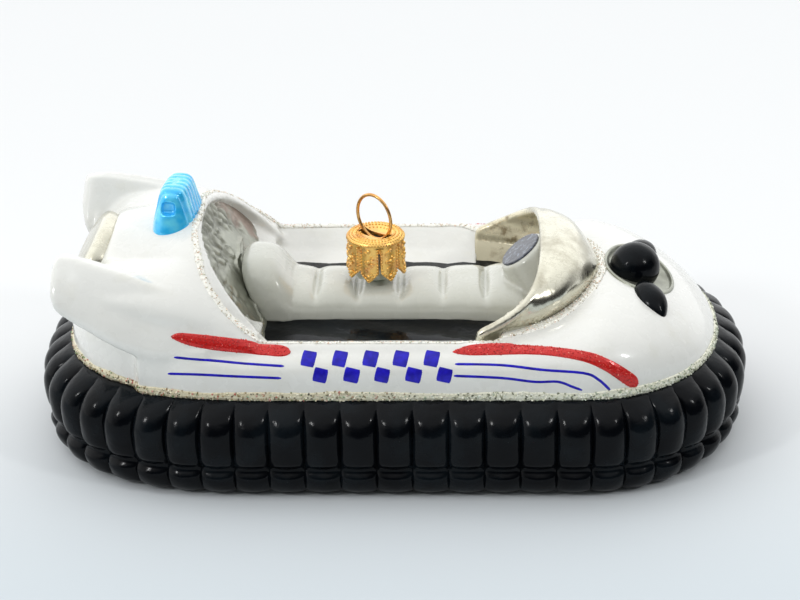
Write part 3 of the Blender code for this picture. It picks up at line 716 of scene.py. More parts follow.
class Rule(Tree):
    """A Geometry Nodes tree with named inputs."""

    def __init__(self, name, **inputs):
        super().__init__(bpy.data.node_groups.new(name, "GeometryNodeTree"))
        self.tree.is_modifier = True
        for label, kind in {"Geometry": "Geometry", **inputs}.items():
            self.tree.interface.new_socket(label.replace("_", " "), in_out="INPUT",
                                           socket_type=SOCKET_KINDS[kind])
        self.tree.interface.new_socket("Geometry", in_out="OUTPUT", socket_type=SOCKET_KINDS["Geometry"])
        self.start = self.tree.nodes.new("NodeGroupInput")
        self.end = self.tree.nodes.new("NodeGroupOutput")

    def given(self, name):
        return Wire(self, self.start.outputs[name])

    def named(self, name, kind="FLOAT"):
        return self.node("GeometryNodeInputNamedAttribute", {"Name": name}, data_type=kind)

    def store(self, geometry, name, value, domain="POINT"):
        return self.node("GeometryNodeStoreNamedAttribute",
                         {"Geometry": geometry, "Name": name, "Value": value},
                         data_type="FLOAT", domain=domain)

    def keep(self, geometry, values):
        """Capture fields on a geometry: returns the geometry and the captured fields."""
        made = self.tree.nodes.new("GeometryNodeCaptureAttribute")
        for name, (kind, _) in values.items():
            made.capture_items.new(kind, name)
        self.feed(made.inputs["Geometry"], geometry)
        for name, (_, value) in values.items():
            self.feed(made.inputs[name], value)
        return Wire(self, made.outputs["Geometry"]), [Wire(self, made.outputs[name]) for name in values]

    def finish(self, geometry):
        real = self.node("GeometryNodeRealizeInstances", {"Geometry": geometry})
        done = self.node("GeometryNodeSetMaterial", {"Geometry": real, "Material": self.given("Material")})
        self.feed(self.end.inputs["Geometry"], done)
        return self


def run_rule(name, rule, start, **values):
    """Run a tree once on a start mesh, and keep what it makes as a plain mesh."""
    thing = put(name, start)
    modifier = thing.modifiers.new("rule", "NODES")
    modifier.node_group = rule.tree
    for item in rule.tree.interface.items_tree:
        key = item.name.replace(" ", "_")
        if item.in_out == "INPUT" and key in values:
            modifier[item.identifier] = values[key]
    return bake(thing)


def path_mesh(name, paths, **columns):
    """Lines of points in millimetres as a mesh of edges, with one number per point for each column."""
    points, edges = [], []
    for path, ring in paths:
        start = len(points)
        points += [tuple(Vector(point) * MM) for point in path]
        edges += [(start + k, start + k + 1) for k in range(len(path) - 1)]
        if ring:
            edges.append((len(points) - 1, start))
    mesh = bpy.data.meshes.new(name)
    mesh.from_pydata(points, edges, [])
    for column, numbers in columns.items():
        kind = "FLOAT_VECTOR" if hasattr(numbers[0], "__len__") else "FLOAT"
        attribute = mesh.attributes.new(column, kind, "POINT")
        attribute.data.foreach_set("vector" if kind == "FLOAT_VECTOR" else "value",
                                   np.array(numbers, np.float32).ravel())
    return mesh


print("a rule takes:", ", ".join(SOCKET_KINDS))

# %% [markdown]
# The skirt is the ornament's main form: 55 pillows in a ring, as if air filled them, under deep black
# lacquer. Its shape follows a rule, so Geometry Nodes make it. A grid is wrapped round the plan: one
# way it follows the outline, the other way the section, and the grooves between the pillows pull it in.

# %% Skirt rule
def skirt_rule():
    r = Rule("pillow_ring", Section="object", Lobes="int", Steps_per_lobe="int", Rows="int",
             Fullness="float", First_groove="float", Material="material")
    lobes = r.given("Lobes")
    grid = r.node("GeometryNodeMeshGrid", {"Size X": 1.0, "Size Y": 1.0,
                                           "Vertices X": lobes * r.given("Steps per lobe") + 1.0,
                                           "Vertices Y": r.given("Rows")})
    round_share, up_share = (part + 0.5 for part in r.split(r.node("GeometryNodeInputPosition"))[:2])
    outline = r.node("GeometryNodeMeshToCurve", {"Mesh": r.given("Geometry")})
    section = r.node("GeometryNodeObjectInfo", {"Object": r.given("Section")}, out="Geometry")
    section = r.node("GeometryNodeMeshToCurve", {"Mesh": section})
    turn = round_share + r.given("First groove") / lobes
    along = r.node("GeometryNodeSampleCurve", {"Curves": outline, "Factor": turn.maths("FRACT", turn),
                                               "Value": r.named("inward", "FLOAT_VECTOR")},
                   out="Value", data_type="FLOAT_VECTOR", use_all_curves=True)
    edge = Wire(r, along.socket.node.outputs["Position"])
    height = r.node("GeometryNodeSampleCurve", {"Curves": section, "Factor": up_share}, out="Position",
                    use_all_curves=True)
    inset, groove, rise = r.split(height)
    phase = round_share * lobes
    phase = phase.maths("FRACT", phase)
    swell = (phase * math.pi).maths("SINE", phase * math.pi)
    swell = swell.maths("MAXIMUM", swell, 0.0) ** r.given("Fullness")
    inward = inset + groove * (1.0 - swell)
    moved = r.vector("SUBTRACT", edge, r.vector("SCALE", along, scale=inward))
    lift = r.node("ShaderNodeCombineXYZ", {2: rise})
    placed = r.node("GeometryNodeSetPosition", {"Geometry": grid, "Position": r.vector("ADD", moved, lift)})
    return r.finish(r.node("GeometryNodeMergeByDistance", {"Geometry": placed, "Distance": TOUCHING}))


PILLOW_RING = skirt_rule()
print("nodes in the skirt rule:", len(PILLOW_RING.tree.nodes))

# %% [markdown]
# The section of the skirt has two bulges, a low one and a high one, with a waist between them. The
# rule leaves the ring open below and above, so both holes are closed with one face each. Only edges
# steeper than 70 degrees stay sharp: that is the rim of the flat underside.

# %% Skirt
LOBES = 55
FIRST_GROOVE = 0.893
LOBE_FULLNESS = 0.6
STEPS_PER_LOBE = 20
SKIRT_ROWS = 46
SHARP_RIM = math.radians(70.0)
# inset from the widest line, depth of the groove, height
SKIRT_SECTION = (
    (4.2, 0.5, 0.0), (1.7, 0.9, 1.6), (0.6, 1.1, 4.2), (1.5, 0.7, 5.9), (0.4, 1.3, 7.6),
    (0.0, 1.5, 12.2), (1.3, 1.5, 15.2), (3.7, 1.0, 16.9), (5.2, 0.3, SEAM_Z),
)


def make_skirt():
    loop = whole_outline()
    outline = path_mesh("outline", [([(x, across * HALF_BEAM, 0.0) for x, across, _ in loop], True)],
                        inward=[(along, across, 0.0) for _, across, along in loop])
    section = put("section", path_mesh("section", [(smooth_rows(SKIRT_SECTION, 8), False)]))
    skirt = run_rule("air_skirt", PILLOW_RING, outline, Section=section, Lobes=LOBES,
                     Steps_per_lobe=STEPS_PER_LOBE, Rows=SKIRT_ROWS, Fullness=LOBE_FULLNESS,
                     First_groove=FIRST_GROOVE, Material=finishes["black"])
    bpy.data.objects.remove(section)
    bm = bmesh.new()
    bm.from_mesh(skirt.data)
    bmesh.ops.holes_fill(bm, edges=[edge for edge in bm.edges if edge.is_boundary])
    face_outwards(bm)
    bm.to_mesh(skirt.data)
    bm.free()
    dress(skirt, "black", replaces=["skirt"])
    skirt.data.set_sharp_from_angle(angle=SHARP_RIM)


make_skirt()

# %% [markdown]
# The white body is everything that the white lacquer covers above the skirt. On the real ornament this
# is one wall of glass. It is drawn form by form, and fused into one skin at the end. First come the two
# ends of the hull, the long foredeck and the short stern block: rows of soft arches over the plan.

# %% Hull ends
HULL_Z = 17.0
HULL_STEPS = 8
HULL_ARCH_STEPS = 48
# x, height of the crown, exponent of the section
BOW_STATIONS = (
    (19.0, 26.0, 5.5), (27.0, 26.9, 4.8), (33.0, 28.4, 3.9), (37.0, 29.4, 3.4), (41.0, 29.1, 3.1),
    (44.5, 28.2, 2.9), (48.0, 26.6, 2.7), (51.5, 24.6, 2.5), (54.5, 22.3, 2.4), (56.6, 20.2, 2.2),
    (57.7, 18.4, 2.0),
)
STERN_STATIONS = (
    (-25.0, 26.0, 5.5), (-33.0, 27.2, 5.5), (-40.0, 28.2, 5.0), (-48.0, 28.4, 5.0), (-53.0, 28.0, 5.0),
    (-56.2, 27.0, 4.5), (-57.5, 24.5, 4.0),
)
# aft of this the stern block stands back from the pods, forward of it a cheek is flush with them
CHEEK_AFT_X = -43.2
BLOCK_STEP = 1.3


def hull_end(stations, step=0.0):
    """One end of the hull, narrowed by a step aft of the cheeks."""
    rings = []
    for x, crown, exponent in smooth_rows(stations, HULL_STEPS):
        half_width = plan_half_width(x, SEAM_INSET) - (step if x < CHEEK_AFT_X else 0.0)
        rings.append([(x, half_width * across, HULL_Z + (crown - HULL_Z) * up)
                      for across, up in arch(exponent, HULL_ARCH_STEPS)])
    return skin(rings)


deck_table = np.array(smooth_rows(BOW_STATIONS, 5))


def deck_height(x, y):
    """Height of the foredeck at a point in plan."""
    crown, exponent = (np.interp(x, deck_table[:, 0], deck_table[:, column]) for column in (1, 2))
    share = min(1.0, abs(y) / plan_half_width(x, SEAM_INSET))
    return HULL_Z + (crown - HULL_Z) * (1.0 - share ** exponent) ** (1.0 / exponent)


print("height of the deck under the lamps:", round(deck_height(44.0, 0.0), 2))

# %% [markdown]
# The cockpit lies between the two ends. Its walls are low and thick: the outside falls to the seam, the
# inside slopes down to the floor. Walls and ground are one bar along the craft, with one profile.

# %% Cockpit walls
TUB_ENDS = (-27.0, 21.0)
TUB_RINGS = 25
SHOULDER_DEGREES = range(0, 43, 3)
# y and height of the wall's top and inside, then the ground
WALL_PROFILE = ((24.6, 25.9), (23.4, 25.5), (19.4, 23.2), (16.0, 22.0), (14.0, 21.4), (0.0, 21.4))


def cockpit_tub():
    """Both cockpit walls and the ground between them, as one bar along X."""
    half_width = HALF_BEAM - SEAM_INSET
    crown, exponent = BOW_STATIONS[0][1:]
    side = [(half_width, HULL_Z)]
    for degrees in SHOULDER_DEGREES:
        across, up = superellipse(math.radians(degrees), exponent)
        side.append((half_width * across, HULL_Z + (crown - HULL_Z) * up))
    side += WALL_PROFILE
    profile = side + [(-y, z) for y, z in reversed(side[:-1])]
    rings = []
    for x in np.linspace(*TUB_ENDS, TUB_RINGS):
        narrowing = half_width - plan_half_width(x, SEAM_INSET)
        rings.append([(x, y - math.copysign(min(abs(y), narrowing), y), z) for y, z in profile])
    return skin(rings)


print("points round the cockpit's profile:", len(cockpit_tub()[0]) // TUB_RINGS)

# %% [markdown]
# The engine housing behind the cockpit is a row of arches that lean back less and less towards the
# stern. It starts with a wide hoop round the cockpit's end. Two more arches, a rim and a smaller one
# set back, turn inwards there and leave the recess in which the fan bulkhead stands.

# %% Engine housing
ARCH_STEPS = 64
# x at the foot, half width, foot height, top height, lean of the top, exponent, underside
HOUSING_HOOPS = (
    (-20.6, 22.0, 24.2, 39.7, -13.6, 2.4, 20.0), (-26.0, 23.6, 24.5, 39.6, -11.0, 2.2, 20.0),
    (-35.0, 22.4, 25.0, 38.9, -5.0, 2.1, 20.0), (-43.0, 19.0, 26.0, 38.3, -2.0, 2.1, 20.0),
    (-50.0, 15.0, 27.0, 37.9, 1.0, 2.2, 22.0), (-55.4, 11.0, 27.5, 37.2, 6.2, 2.2, 24.3),
)
RIM_HOOP = (-20.7, 20.4, 23.9, 38.8, -12.6, 2.35, 20.7)
RECESS_HOOP = (-24.2, 19.8, 23.9, 38.2, -10.0, 2.3, 20.9)


def leaning_hoop(x, half_width, foot_z, top_z, exponent, lean, bottom_z, datum_z, leg_z=0.0, bow=0.0):
    """An arch with legs run down to bottom_z, in a plane that leans. Below leg_z the legs are upright.
    With a bow, the arch bends forward half way up."""
    points = [(half_width * across, foot_z + (top_z - foot_z) * up)
              for across, up in arch(exponent, ARCH_STEPS)]
    points += [(-half_width, bottom_z), (half_width, bottom_z)]
    share = [min(1.0, max(0.0, (z - leg_z) / (top_z - leg_z))) for _, z in points]
    return [(x + lean * (max(z, leg_z) - datum_z) + bow * math.sin(math.pi * part), y, z)
            for (y, z), part in zip(points, share)]


def housing_ring(row):
    x, half_width, foot_z, top_z, lean, exponent, underside = row
    return leaning_hoop(x, half_width, foot_z, top_z, exponent, lean / (top_z - foot_z), underside, foot_z)


housing_rings = [housing_ring(row) for row in smooth_rows(HOUSING_HOOPS, 5)]
print("arches in the housing:", len(housing_rings))

# %% [markdown]
# Beside the housing lie two pods that sweep up into fins. Each is a row of closed sections that run
# from the cockpit's shoulder to the fin's tip. The glass also bridges the valley between each pod and
# the housing, so a web fills it and leaves the ridge as a soft crease, and a cheek fills the side below
# the pod's front half, down to the seam.

# %% Stern pods
# x, ridge y and z, lower edge y and z, thickness, root z
POD_STATIONS = (
    (-57.8, 19.6, 37.0, 22.4, 34.0, 2.0, 34.8), (-56.9, 18.9, 38.7, 23.8, 32.2, 2.8, 31.2),
    (-55.0, 19.1, 39.0, 24.4, 30.8, 3.3, 28.8), (-52.0, 20.2, 38.5, 25.2, 29.2, 3.8, 27.4),
    (-46.0, 21.6, 37.0, 27.0, 26.4, 4.4, 26.4), (-40.0, 22.5, 35.2, 27.6, 24.4, 4.4, 24.4),
    (-34.0, 23.2, 33.2, 27.3, 24.2, 4.4, 24.2), (-28.0, 23.8, 30.4, 26.8, 24.2, 4.4, 24.2),
    (-22.5, 24.2, 26.2, 25.8, 24.2, 4.4, 24.2),
)
POD_BELLY = 0.8
POD_ROOT_REACH = 2.6
pod_table = np.array(smooth_rows(POD_STATIONS, 6))


def pod(side):
    rings = []
    for x, ridge_y, ridge_z, low_y, low_z, thickness, root_z in smooth_rows(POD_STATIONS, 4):
        corners = (
            (ridge_y, ridge_z),
            ((ridge_y + low_y) / 2.0 + POD_BELLY, (ridge_z + low_z) / 2.0),
            (low_y, low_z),
            (low_y - thickness, low_z - POD_BELLY),
            (ridge_y - POD_ROOT_REACH * thickness, root_z),
            (ridge_y - thickness, ridge_z - POD_BELLY),
            (ridge_y - thickness / 2.0, ridge_z + POD_BELLY / 4.0),
        )
        around = smooth_rows(corners[-1:] + corners + corners[:2], 3)[3:-3]
        rings.append([(x, side * y, z) for y, z in around[:-1]])
    return skin(rings)


print("length of a pod:", round(POD_STATIONS[-1][0] - POD_STATIONS[0][0], 1), "mm")

# %% [markdown]
# The web is an arch from the pod's belly to the housing, pulled over the ridge or just under it. A ray
# from above finds the housing's surface. The cheek is a thin panel: its foot follows the seam and its
# top the pod's lower edge, and towards the bow both draw in until it melts into the wall.

# %% Webs and cheeks
# x, drop below the ridge, y where the web meets the housing
WEB_STATIONS = (
    (-54.5, 3.2, 8.5), (-50.0, 2.2, 10.0), (-45.0, 1.1, 11.5), (-40.0, 0.25, 12.5), (-36.0, -0.15, 13.5),
    (-32.0, -0.1, 17.0), (-29.0, 0.1, 20.0), (-26.5, 0.5, 22.0),
)
ABOVE_ALL_Z = 60.0
WEB_START_IN = 0.2
WEB_END_SINK = 0.15
WEB_OVER_IN = 0.3
CHEEK_FRONT_X = -31.0
CHEEK_RINGS = 14
# out from the seam or in from the pod at the aft end, then how far it draws in at the fore end
CHEEK_FOOT = (0.1, 0.9)
CHEEK_TOP = (0.15, 0.8)
CHEEK_LEAN = 0.4
CHEEK_MIDDLE = (0.3, 21.0)
CHEEK_TOP_RISE = 1.5
CHEEK_INNER_Y = 18.0


def pod_web(side, surface):
    """The glass that bridges pod and housing: a smooth arch over or just under the pod's ridge."""
    rings = []
    for x, drop, far_y in smooth_rows(WEB_STATIONS, 4):
        ridge_y, ridge_z, low_y, low_z = (np.interp(x, pod_table[:, 0], pod_table[:, k]) for k in range(1, 5))
        hit = surface.ray_cast(Vector((x, far_y, ABOVE_ALL_Z)), Vector((0.0, 0.0, -1.0)))[0]
        start = Vector(((ridge_y + low_y) / 2.0 + POD_BELLY - WEB_START_IN, (ridge_z + low_z) / 2.0))
        end = Vector((far_y, hit.z - WEB_END_SINK))
        over = Vector((ridge_y - WEB_OVER_IN * max(drop, 0.0), ridge_z - drop))
        pull = 2.0 * over - 0.5 * (start + end)
        top = [start * (1 - t) ** 2 + pull * 2.0 * t * (1 - t) + end * t ** 2
               for t in np.linspace(0.0, 1.0, 17)]
        low = (low_z + start.y) / 2.0
        rings.append([(x, side * y, z) for y, z in top] + [(x, side * far_y, low), (x, side * start.x, low)])
    return skin(rings)


def cheek(side):
    """The panel under each pod's front half, flush with the pod down to the seam."""
    rings = []
    for x in np.linspace(CHEEK_AFT_X, CHEEK_FRONT_X, CHEEK_RINGS):
        low_y, low_z = (np.interp(x, pod_table[:, 0], pod_table[:, column]) for column in (3, 4))
        fade = ((x - CHEEK_AFT_X) / (CHEEK_FRONT_X - CHEEK_AFT_X)) ** 2
        seam_y = plan_half_width(x, SEAM_INSET) + CHEEK_FOOT[0] - CHEEK_FOOT[1] * fade
        top_y = max(low_y - CHEEK_TOP[0] - CHEEK_TOP[1] * fade, seam_y - CHEEK_LEAN)
        middle_y = 0.6 * seam_y + 0.4 * top_y + CHEEK_MIDDLE[0]
        top_z = low_z + CHEEK_TOP_RISE
        profile = ((seam_y, HULL_Z), (middle_y, CHEEK_MIDDLE[1]), (top_y, top_z), (CHEEK_INNER_Y, top_z),
                   (CHEEK_INNER_Y, HULL_Z))
        rings.append([(x, side * y, z) for y, z in profile])
    return skin(rings)


print("the cheeks end at x:", CHEEK_AFT_X, "and", CHEEK_FRONT_X)

# %% [markdown]
# Now the forms become one skin. The voxel is just under half a millimetre, fine enough for the hoop's
# rim and coarse enough to stay under 200,000 triangles.

# %% White body
BODY_VOXEL = 0.46
BODY_ROUNDS = 12


def make_body():
    housing = skin([housing_ring(RECESS_HOOP), housing_ring(RIM_HOOP)] + housing_rings)
    shell_points, shell_faces = skin(housing_rings)
    shell = BVHTree.FromPolygons([Vector(point) for point in shell_points], shell_faces)
    parts = [hull_end(BOW_STATIONS), hull_end(STERN_STATIONS, BLOCK_STEP), cockpit_tub(), housing]
    for side in (-1.0, 1.0):
        parts += [pod(side), pod_web(side, shell), cheek(side)]
    return fuse(solid("white_body", *parts), BODY_VOXEL, BODY_ROUNDS)


body = make_body()
print("points in the white skin:", len(body.data.vertices))

# %% [markdown]
# The foredeck carries three black lamps in a shallow silver dish. The dish is cut out of the white skin
# first, and a silver one is laid in the hole. Both are ovals stacked on the deck, which they follow.

# %% Lamp dish
DISH_CENTRE_X = 44.0
DISH_HALF_LENGTH = 6.0
DISH_HALF_WIDTH = 8.8
DISH_DEPTH = 1.1
DISH_STEPS = 96
# share of the oval, depth as a share of the dish's own
DISH_SECTION = ((1.04, -0.25), (0.97, -0.3), (0.9, 0.5), (0.7, 0.95), (0.4, 1.0), (0.1, 1.0))
# share of the oval, height above the deck
DISH_BACK = ((0.1, -2.4), (0.6, -2.4), (1.04, -2.4))
DISH_HOLE = ((0.2, -1.9), (1.0, -1.9), (1.0, 3.0), (0.2, 3.0))


def dish_row(share, lift):
    row = []
    for angle in turns(DISH_STEPS):
        x = DISH_CENTRE_X + share * DISH_HALF_LENGTH * math.cos(angle)
        y = share * DISH_HALF_WIDTH * math.sin(angle)
        row.append((x, y, deck_height(x, y) + lift))
    return row


def make_dish():
    cut_away(body, solid("hole", skin([dish_row(share, lift) for share, lift in DISH_HOLE])))
    rows = [dish_row(share, lift) for share, lift in DISH_BACK]
    rows += [dish_row(share, -DISH_DEPTH * depth) for share, depth in smooth_rows(DISH_SECTION, 4)]
    dress(solid("lamp_dish", skin(rows)), "dull", replaces=["lamp_bezel"])


make_dish()

# %% [markdown]
# The lamps are blown bulges under black lacquer: one large dome in the middle and a drop on either side
# that leans out and forward. A subdivided ball, stretched and turned, is enough, because its gloss does
# the rest. The drop's outer end is drawn out to a soft point.

# %% Lamps
# name, centre, radii, dip and swing in degrees, how far the outer end is drawn to a point
LAMPS = (
    ("search_lamp", (43.2, 0.0, 28.6), (4.45, 4.45, 4.4), 0.0, 0.0, 0.0),
    ("starboard_lamp", (45.3, -10.9, 26.9), (2.75, 4.6, 2.7), 19.0, 24.0, 0.35),
    ("port_lamp", (45.0, 10.3, 26.3), (2.75, 4.6, 2.6), -19.0, -24.0, 0.35),
)


def make_lamp(name, centre, radii, dip, swing, point):
    bm = bmesh.new()
    bmesh.ops.create_icosphere(bm, subdivisions=5, radius=1.0)
    outward = math.copysign(1.0, centre[1])
    for vert in bm.verts:
        slim = 1.0 - point * max(0.0, vert.co.y * outward) ** 2
        vert.co.x *= slim
        vert.co.z *= slim
    matrix = Matrix.Translation(Vector(centre) * MM)
    matrix @= Matrix.Rotation(math.radians(swing), 4, "Z") @ Matrix.Rotation(math.radians(dip), 4, "X")
    matrix @= Matrix.Diagonal((*(radius * MM for radius in radii), 1.0))
    bmesh.ops.transform(bm, matrix=matrix, verts=bm.verts)
    mesh = bpy.data.meshes.new(name)
    bm.to_mesh(mesh)
    bm.free()
    dress(put(f"{name}_dome", mesh), "black", replaces=[name])


for lamp in LAMPS:
    make_lamp(*lamp)

# %% [markdown]
# The windscreen is a cowl of bare silvered glass that opens aft. An outer form less an inner one gives
# its wall. A rolled rim runs round the opening, a round bar swept along the first hoop, and a slope runs
# along the foot of each inner wall. The voxels melt rim and slopes into the wall.

# %% Windscreen
COWL_LEAN = 1.28
COWL_DATUM_Z = 24.7
COWL_WALL = 1.2
COWL_LEG_Z = 25.9
COWL_MIDDLE_Z = 25.0
COWL_VOXEL = 0.32
COWL_ROUNDS = 10
COWL_RIM_RADIUS = 0.85
COWL_RIM_FORWARD = 0.3
COWL_RIM_RISE = 1.2
COWL_RIM_STEP = 0.5
COWL_RIM_SIDES = 16
INSIDE_STEEPNESS = 2.5
# how far the first hoop moves along X, how much the form shrinks, how much further down it reaches
ROOM_CUT = (-0.5, COWL_WALL / 2.0, 0.4)
INNER_CUT = (-4.0, COWL_WALL, 3.0)
FILLET_AFT = 0.6
# inset from the cowl's outside, height
FILLET = ((0.6, 25.0), (1.3, 24.4), (2.5, 23.5), (5.2, 21.9), (5.2, 21.6), (0.6, 21.6))
# x at the datum height, half width, foot height, top height, exponent, underside, bow
COWL_HOOPS = (
    (13.7, 21.8, 24.7, 35.4, 2.45, 21.6, 2.0), (15.5, 21.1, 24.8, 35.6, 2.4, 21.6, 1.7),
    (19.8, 19.7, 25.1, 34.6, 2.35, 21.6, 0.9), (23.4, 17.9, 25.4, 33.1, 2.3, 21.6, 0.3),
    (27.4, 13.9, 26.1, 31.1, 2.2, 21.6, 0.0), (29.9, 8.0, 27.3, 29.9, 2.1, 24.0, 0.0),
    (30.7, 3.0, 28.1, 29.5, 2.0, 24.0, 0.0),
)


def cowl_form(rows, shift=0.0, shrink=0.0, drop=0.0):
    rings = []
    for index, (x, half_width, foot_z, top_z, exponent, underside, bow) in enumerate(smooth_rows(rows, 5)):
        start = shift if index == 0 else 0.0
        rings.append(leaning_hoop(x + start, half_width - shrink, foot_z, top_z - shrink, exponent, COWL_LEAN,
                                  underside - drop, COWL_DATUM_Z, COWL_LEG_Z, bow))
    return skin(rings)


def swept_bar(path, radius, sides):
    """A round bar along a line of points."""
    line = [Vector(point) for point in path]
    rings = []
    across = Vector((0.0, 0.0, 1.0))
    for k, point in enumerate(line):
        tangent = (line[min(k + 1, len(line) - 1)] - line[max(k - 1, 0)]).normalized()
        across = (across - tangent * across.dot(tangent)).normalized()
        other = tangent.cross(across)
        rings.append([point + (across * math.cos(a) + other * math.sin(a)) * radius for a in turns(sides)])
    return skin(rings)


def cowl_rim():
    x, half_width, foot_z, top_z, exponent, underside, bow = COWL_HOOPS[0]
    middle = COWL_WALL / 2.0
    hoop = leaning_hoop(x + COWL_RIM_FORWARD, half_width - middle, foot_z, top_z - middle, exponent,
                        COWL_LEAN, underside + COWL_RIM_RISE, COWL_DATUM_Z, COWL_LEG_Z, bow)
    line = even_path([hoop[-1]] + hoop[:-2] + [hoop[-2]], COWL_RIM_STEP)
    return swept_bar(line, COWL_RIM_RADIUS, COWL_RIM_SIDES)


def cowl_fillet(side):
    """The slope at the foot of the cowl's inner wall, in line with the one along the cockpit's sides."""
    upright = COWL_LEAN * (COWL_LEG_Z - COWL_DATUM_Z)
    rows = [(row[0] + upright, row[1]) for row in COWL_HOOPS[:5]]
    rows[0] = (rows[0][0] - FILLET_AFT, rows[0][1])
    return skin([[(x, side * (half_width - inset), z) for inset, z in FILLET]
                 for x, half_width in smooth_rows(rows, 6)])


def mark_inside(mesh):
    """Keep how far each point faces the middle of the cowl, so that the finish can paint the light that comes
    through the glass onto the inner wall.
    """
    inside = mesh.attributes.new("inside", "FLOAT", "POINT")
    for vertex, kept in zip(mesh.vertices, inside.data):
        radial = Vector((0.0, vertex.co.y, vertex.co.z - COWL_MIDDLE_Z * MM)).normalized()
        kept.value = min(1.0, max(0.0, 0.5 - INSIDE_STEEPNESS * vertex.normal.dot(radial)))


def make_cowl():
    cut_away(body, solid("room", cowl_form(COWL_HOOPS[:-2], *ROOM_CUT)))
    cowl = solid("silver_windscreen", cowl_form(COWL_HOOPS))
    cut_away(cowl, solid("inside", cowl_form(COWL_HOOPS[:-2], *INNER_CUT)))
    lay_in(cowl, solid("rim", cowl_rim(), cowl_fillet(1), cowl_fillet(-1)))
    fuse(cowl, COWL_VOXEL, COWL_ROUNDS)
    mark_inside(cowl.data)
    dress(cowl, "silver", replaces=["windscreen"])


make_cowl()

# %% [markdown]
# Dish and windscreen have now taken their places out of the white skin, so it can be dressed. One
# lacquer covers all of it, and it stands for seven of the part's solids.

# %% White lacquer
WHITE_SOLIDS = ("bow_hull", "stern_hull", "starboard_side", "port_side", "engine_housing", "starboard_pod",
                "port_pod")
dress(body, "white", replaces=WHITE_SOLIDS)

# %% [markdown]
# Saddle and backrest are one long white form down the middle of the cockpit, a loft whose rear sections
# lean back with the hoop. The top is parted into pads by narrow notches. Each notch is deepest at its own
# place and dies out quickly before and behind it.

# %% Saddle
ON_FLOOR_Z = 22.3
# x at the floor, half width, height of the top, lean
SADDLE_STATIONS = (
    (-23.6, 6.8, 29.6, -0.44), (-23.0, 7.8, 31.4, -0.43), (-21.6, 8.3, 32.6, -0.39),
    (-19.8, 8.4, 32.7, -0.30), (-18.9, 8.4, 31.9, -0.22), (-18.3, 8.3, 30.3, -0.15),
    (-17.8, 8.1, 28.8, -0.08), (-17.0, 7.9, 27.75, 0.0), (-10.0, 7.8, 27.5, 0.0), (5.0, 7.8, 27.4, 0.0),
    (11.0, 7.9, 27.5, 0.0), (17.0, 8.4, 27.6, 0.0), (20.0, 8.8, 27.7, 0.0), (24.0, 9.2, 27.8, 0.0),
)
SADDLE_STEP = 0.2
SADDLE_ARCH_STEPS = 40
SADDLE_ROUND = 3.2
SADDLE_SINK = 0.6
PAD_PITCH = 7.55
PAD_NOTCH_X = 1.35
PAD_NOTCH = 2.1
PAD_NOTCH_REACH = 0.8
PAD_NOTCH_WAIST = 0.3
PAD_REAR_X = -16.5


def saddle_form():
    rings = []
    table = np.array(smooth_rows(SADDLE_STATIONS, 12))
    for x in np.arange(SADDLE_STATIONS[0][0], SADDLE_STATIONS[-1][0], SADDLE_STEP):
        half_width, top_z, lean = (np.interp(x, table[:, 0], table[:, column]) for column in (1, 2, 3))
        off = (x - PAD_NOTCH_X + PAD_PITCH / 2.0) % PAD_PITCH - PAD_PITCH / 2.0
        notch = PAD_NOTCH * math.exp(-abs(off) / PAD_NOTCH_REACH) if x > PAD_REAR_X else 0.0
        ring = []
        for across, up in arch(SADDLE_ROUND, SADDLE_ARCH_STEPS):
            sink = notch * max(0.0, up) ** 5
            rise = (top_z - ON_FLOOR_Z) * up
            ring.append((x + lean * rise, (half_width - PAD_NOTCH_WAIST * sink) * across,
                         ON_FLOOR_Z - SADDLE_SINK + rise - sink))
        rings.append(ring)
    return skin(rings)


print("sections in the saddle:", len(saddle_form()[0]) // (SADDLE_ARCH_STEPS + 1))

# %% [markdown]
# The steering console is a round boss on the saddle's front end. It faces the rider, in line with the
# windscreen's lean. Saddle and boss are fused, because they too are one wall of glass.

# %% Console
DIAL_CENTRE = Vector((22.75, 0.0, 32.0))
DIAL_SLOPE = Vector((COWL_LEAN, 0.0, 1.0)).normalized()
DIAL_NORMAL = Vector((-DIAL_SLOPE.z, 0.0, DIAL_SLOPE.x))
# depth below the panel, radius
CONSOLE_BOSS = ((0.1, 3.9), (0.25, 4.35), (0.6, 4.7), (1.5, 5.1), (3.5, 5.9), (6.0, 6.8), (8.5, 7.6))
SADDLE_VOXEL = 0.3
SADDLE_ROUNDS = 8


def on_slope(half_slope, half_width, lift, steps):
    """An oval on the console's slope, lifted off it."""
    return [DIAL_CENTRE + DIAL_SLOPE * (half_slope * math.sin(angle)) + DIAL_NORMAL * lift
            + Vector((0.0, half_width * math.cos(angle), 0.0)) for angle in turns(steps)]


console_form = skin([on_slope(radius, radius, -depth, 64) for depth, radius in smooth_rows(CONSOLE_BOSS, 5)])
saddle = fuse(solid("white_saddle", saddle_form(), console_form), SADDLE_VOXEL, SADDLE_ROUNDS)
dress(saddle, "seat", replaces=["seat", "seat_back", "console"])

# %% [markdown]
# The instrument panel is an oval of dark, scratched paint on the console's slope. A thin lens, pressed
# onto the slope, gives it an edge that catches the light.

# %% Instrument panel
DIAL_HALF_SLOPE = 4.0
DIAL_HALF_WIDTH = 3.9
# share of the oval, height above the slope
DIAL_SECTION = ((1.0, -0.8), (1.0, 0.12), (0.97, 0.24), (0.9, 0.22), (0.6, 0.26), (0.2, 0.28))

dial_form = skin([on_slope(DIAL_HALF_SLOPE * share, DIAL_HALF_WIDTH * share, lift, 96)
                  for share, lift in DIAL_SECTION])
dress(solid("instrument_panel", dial_form), "slate", replaces=["console_dial"])

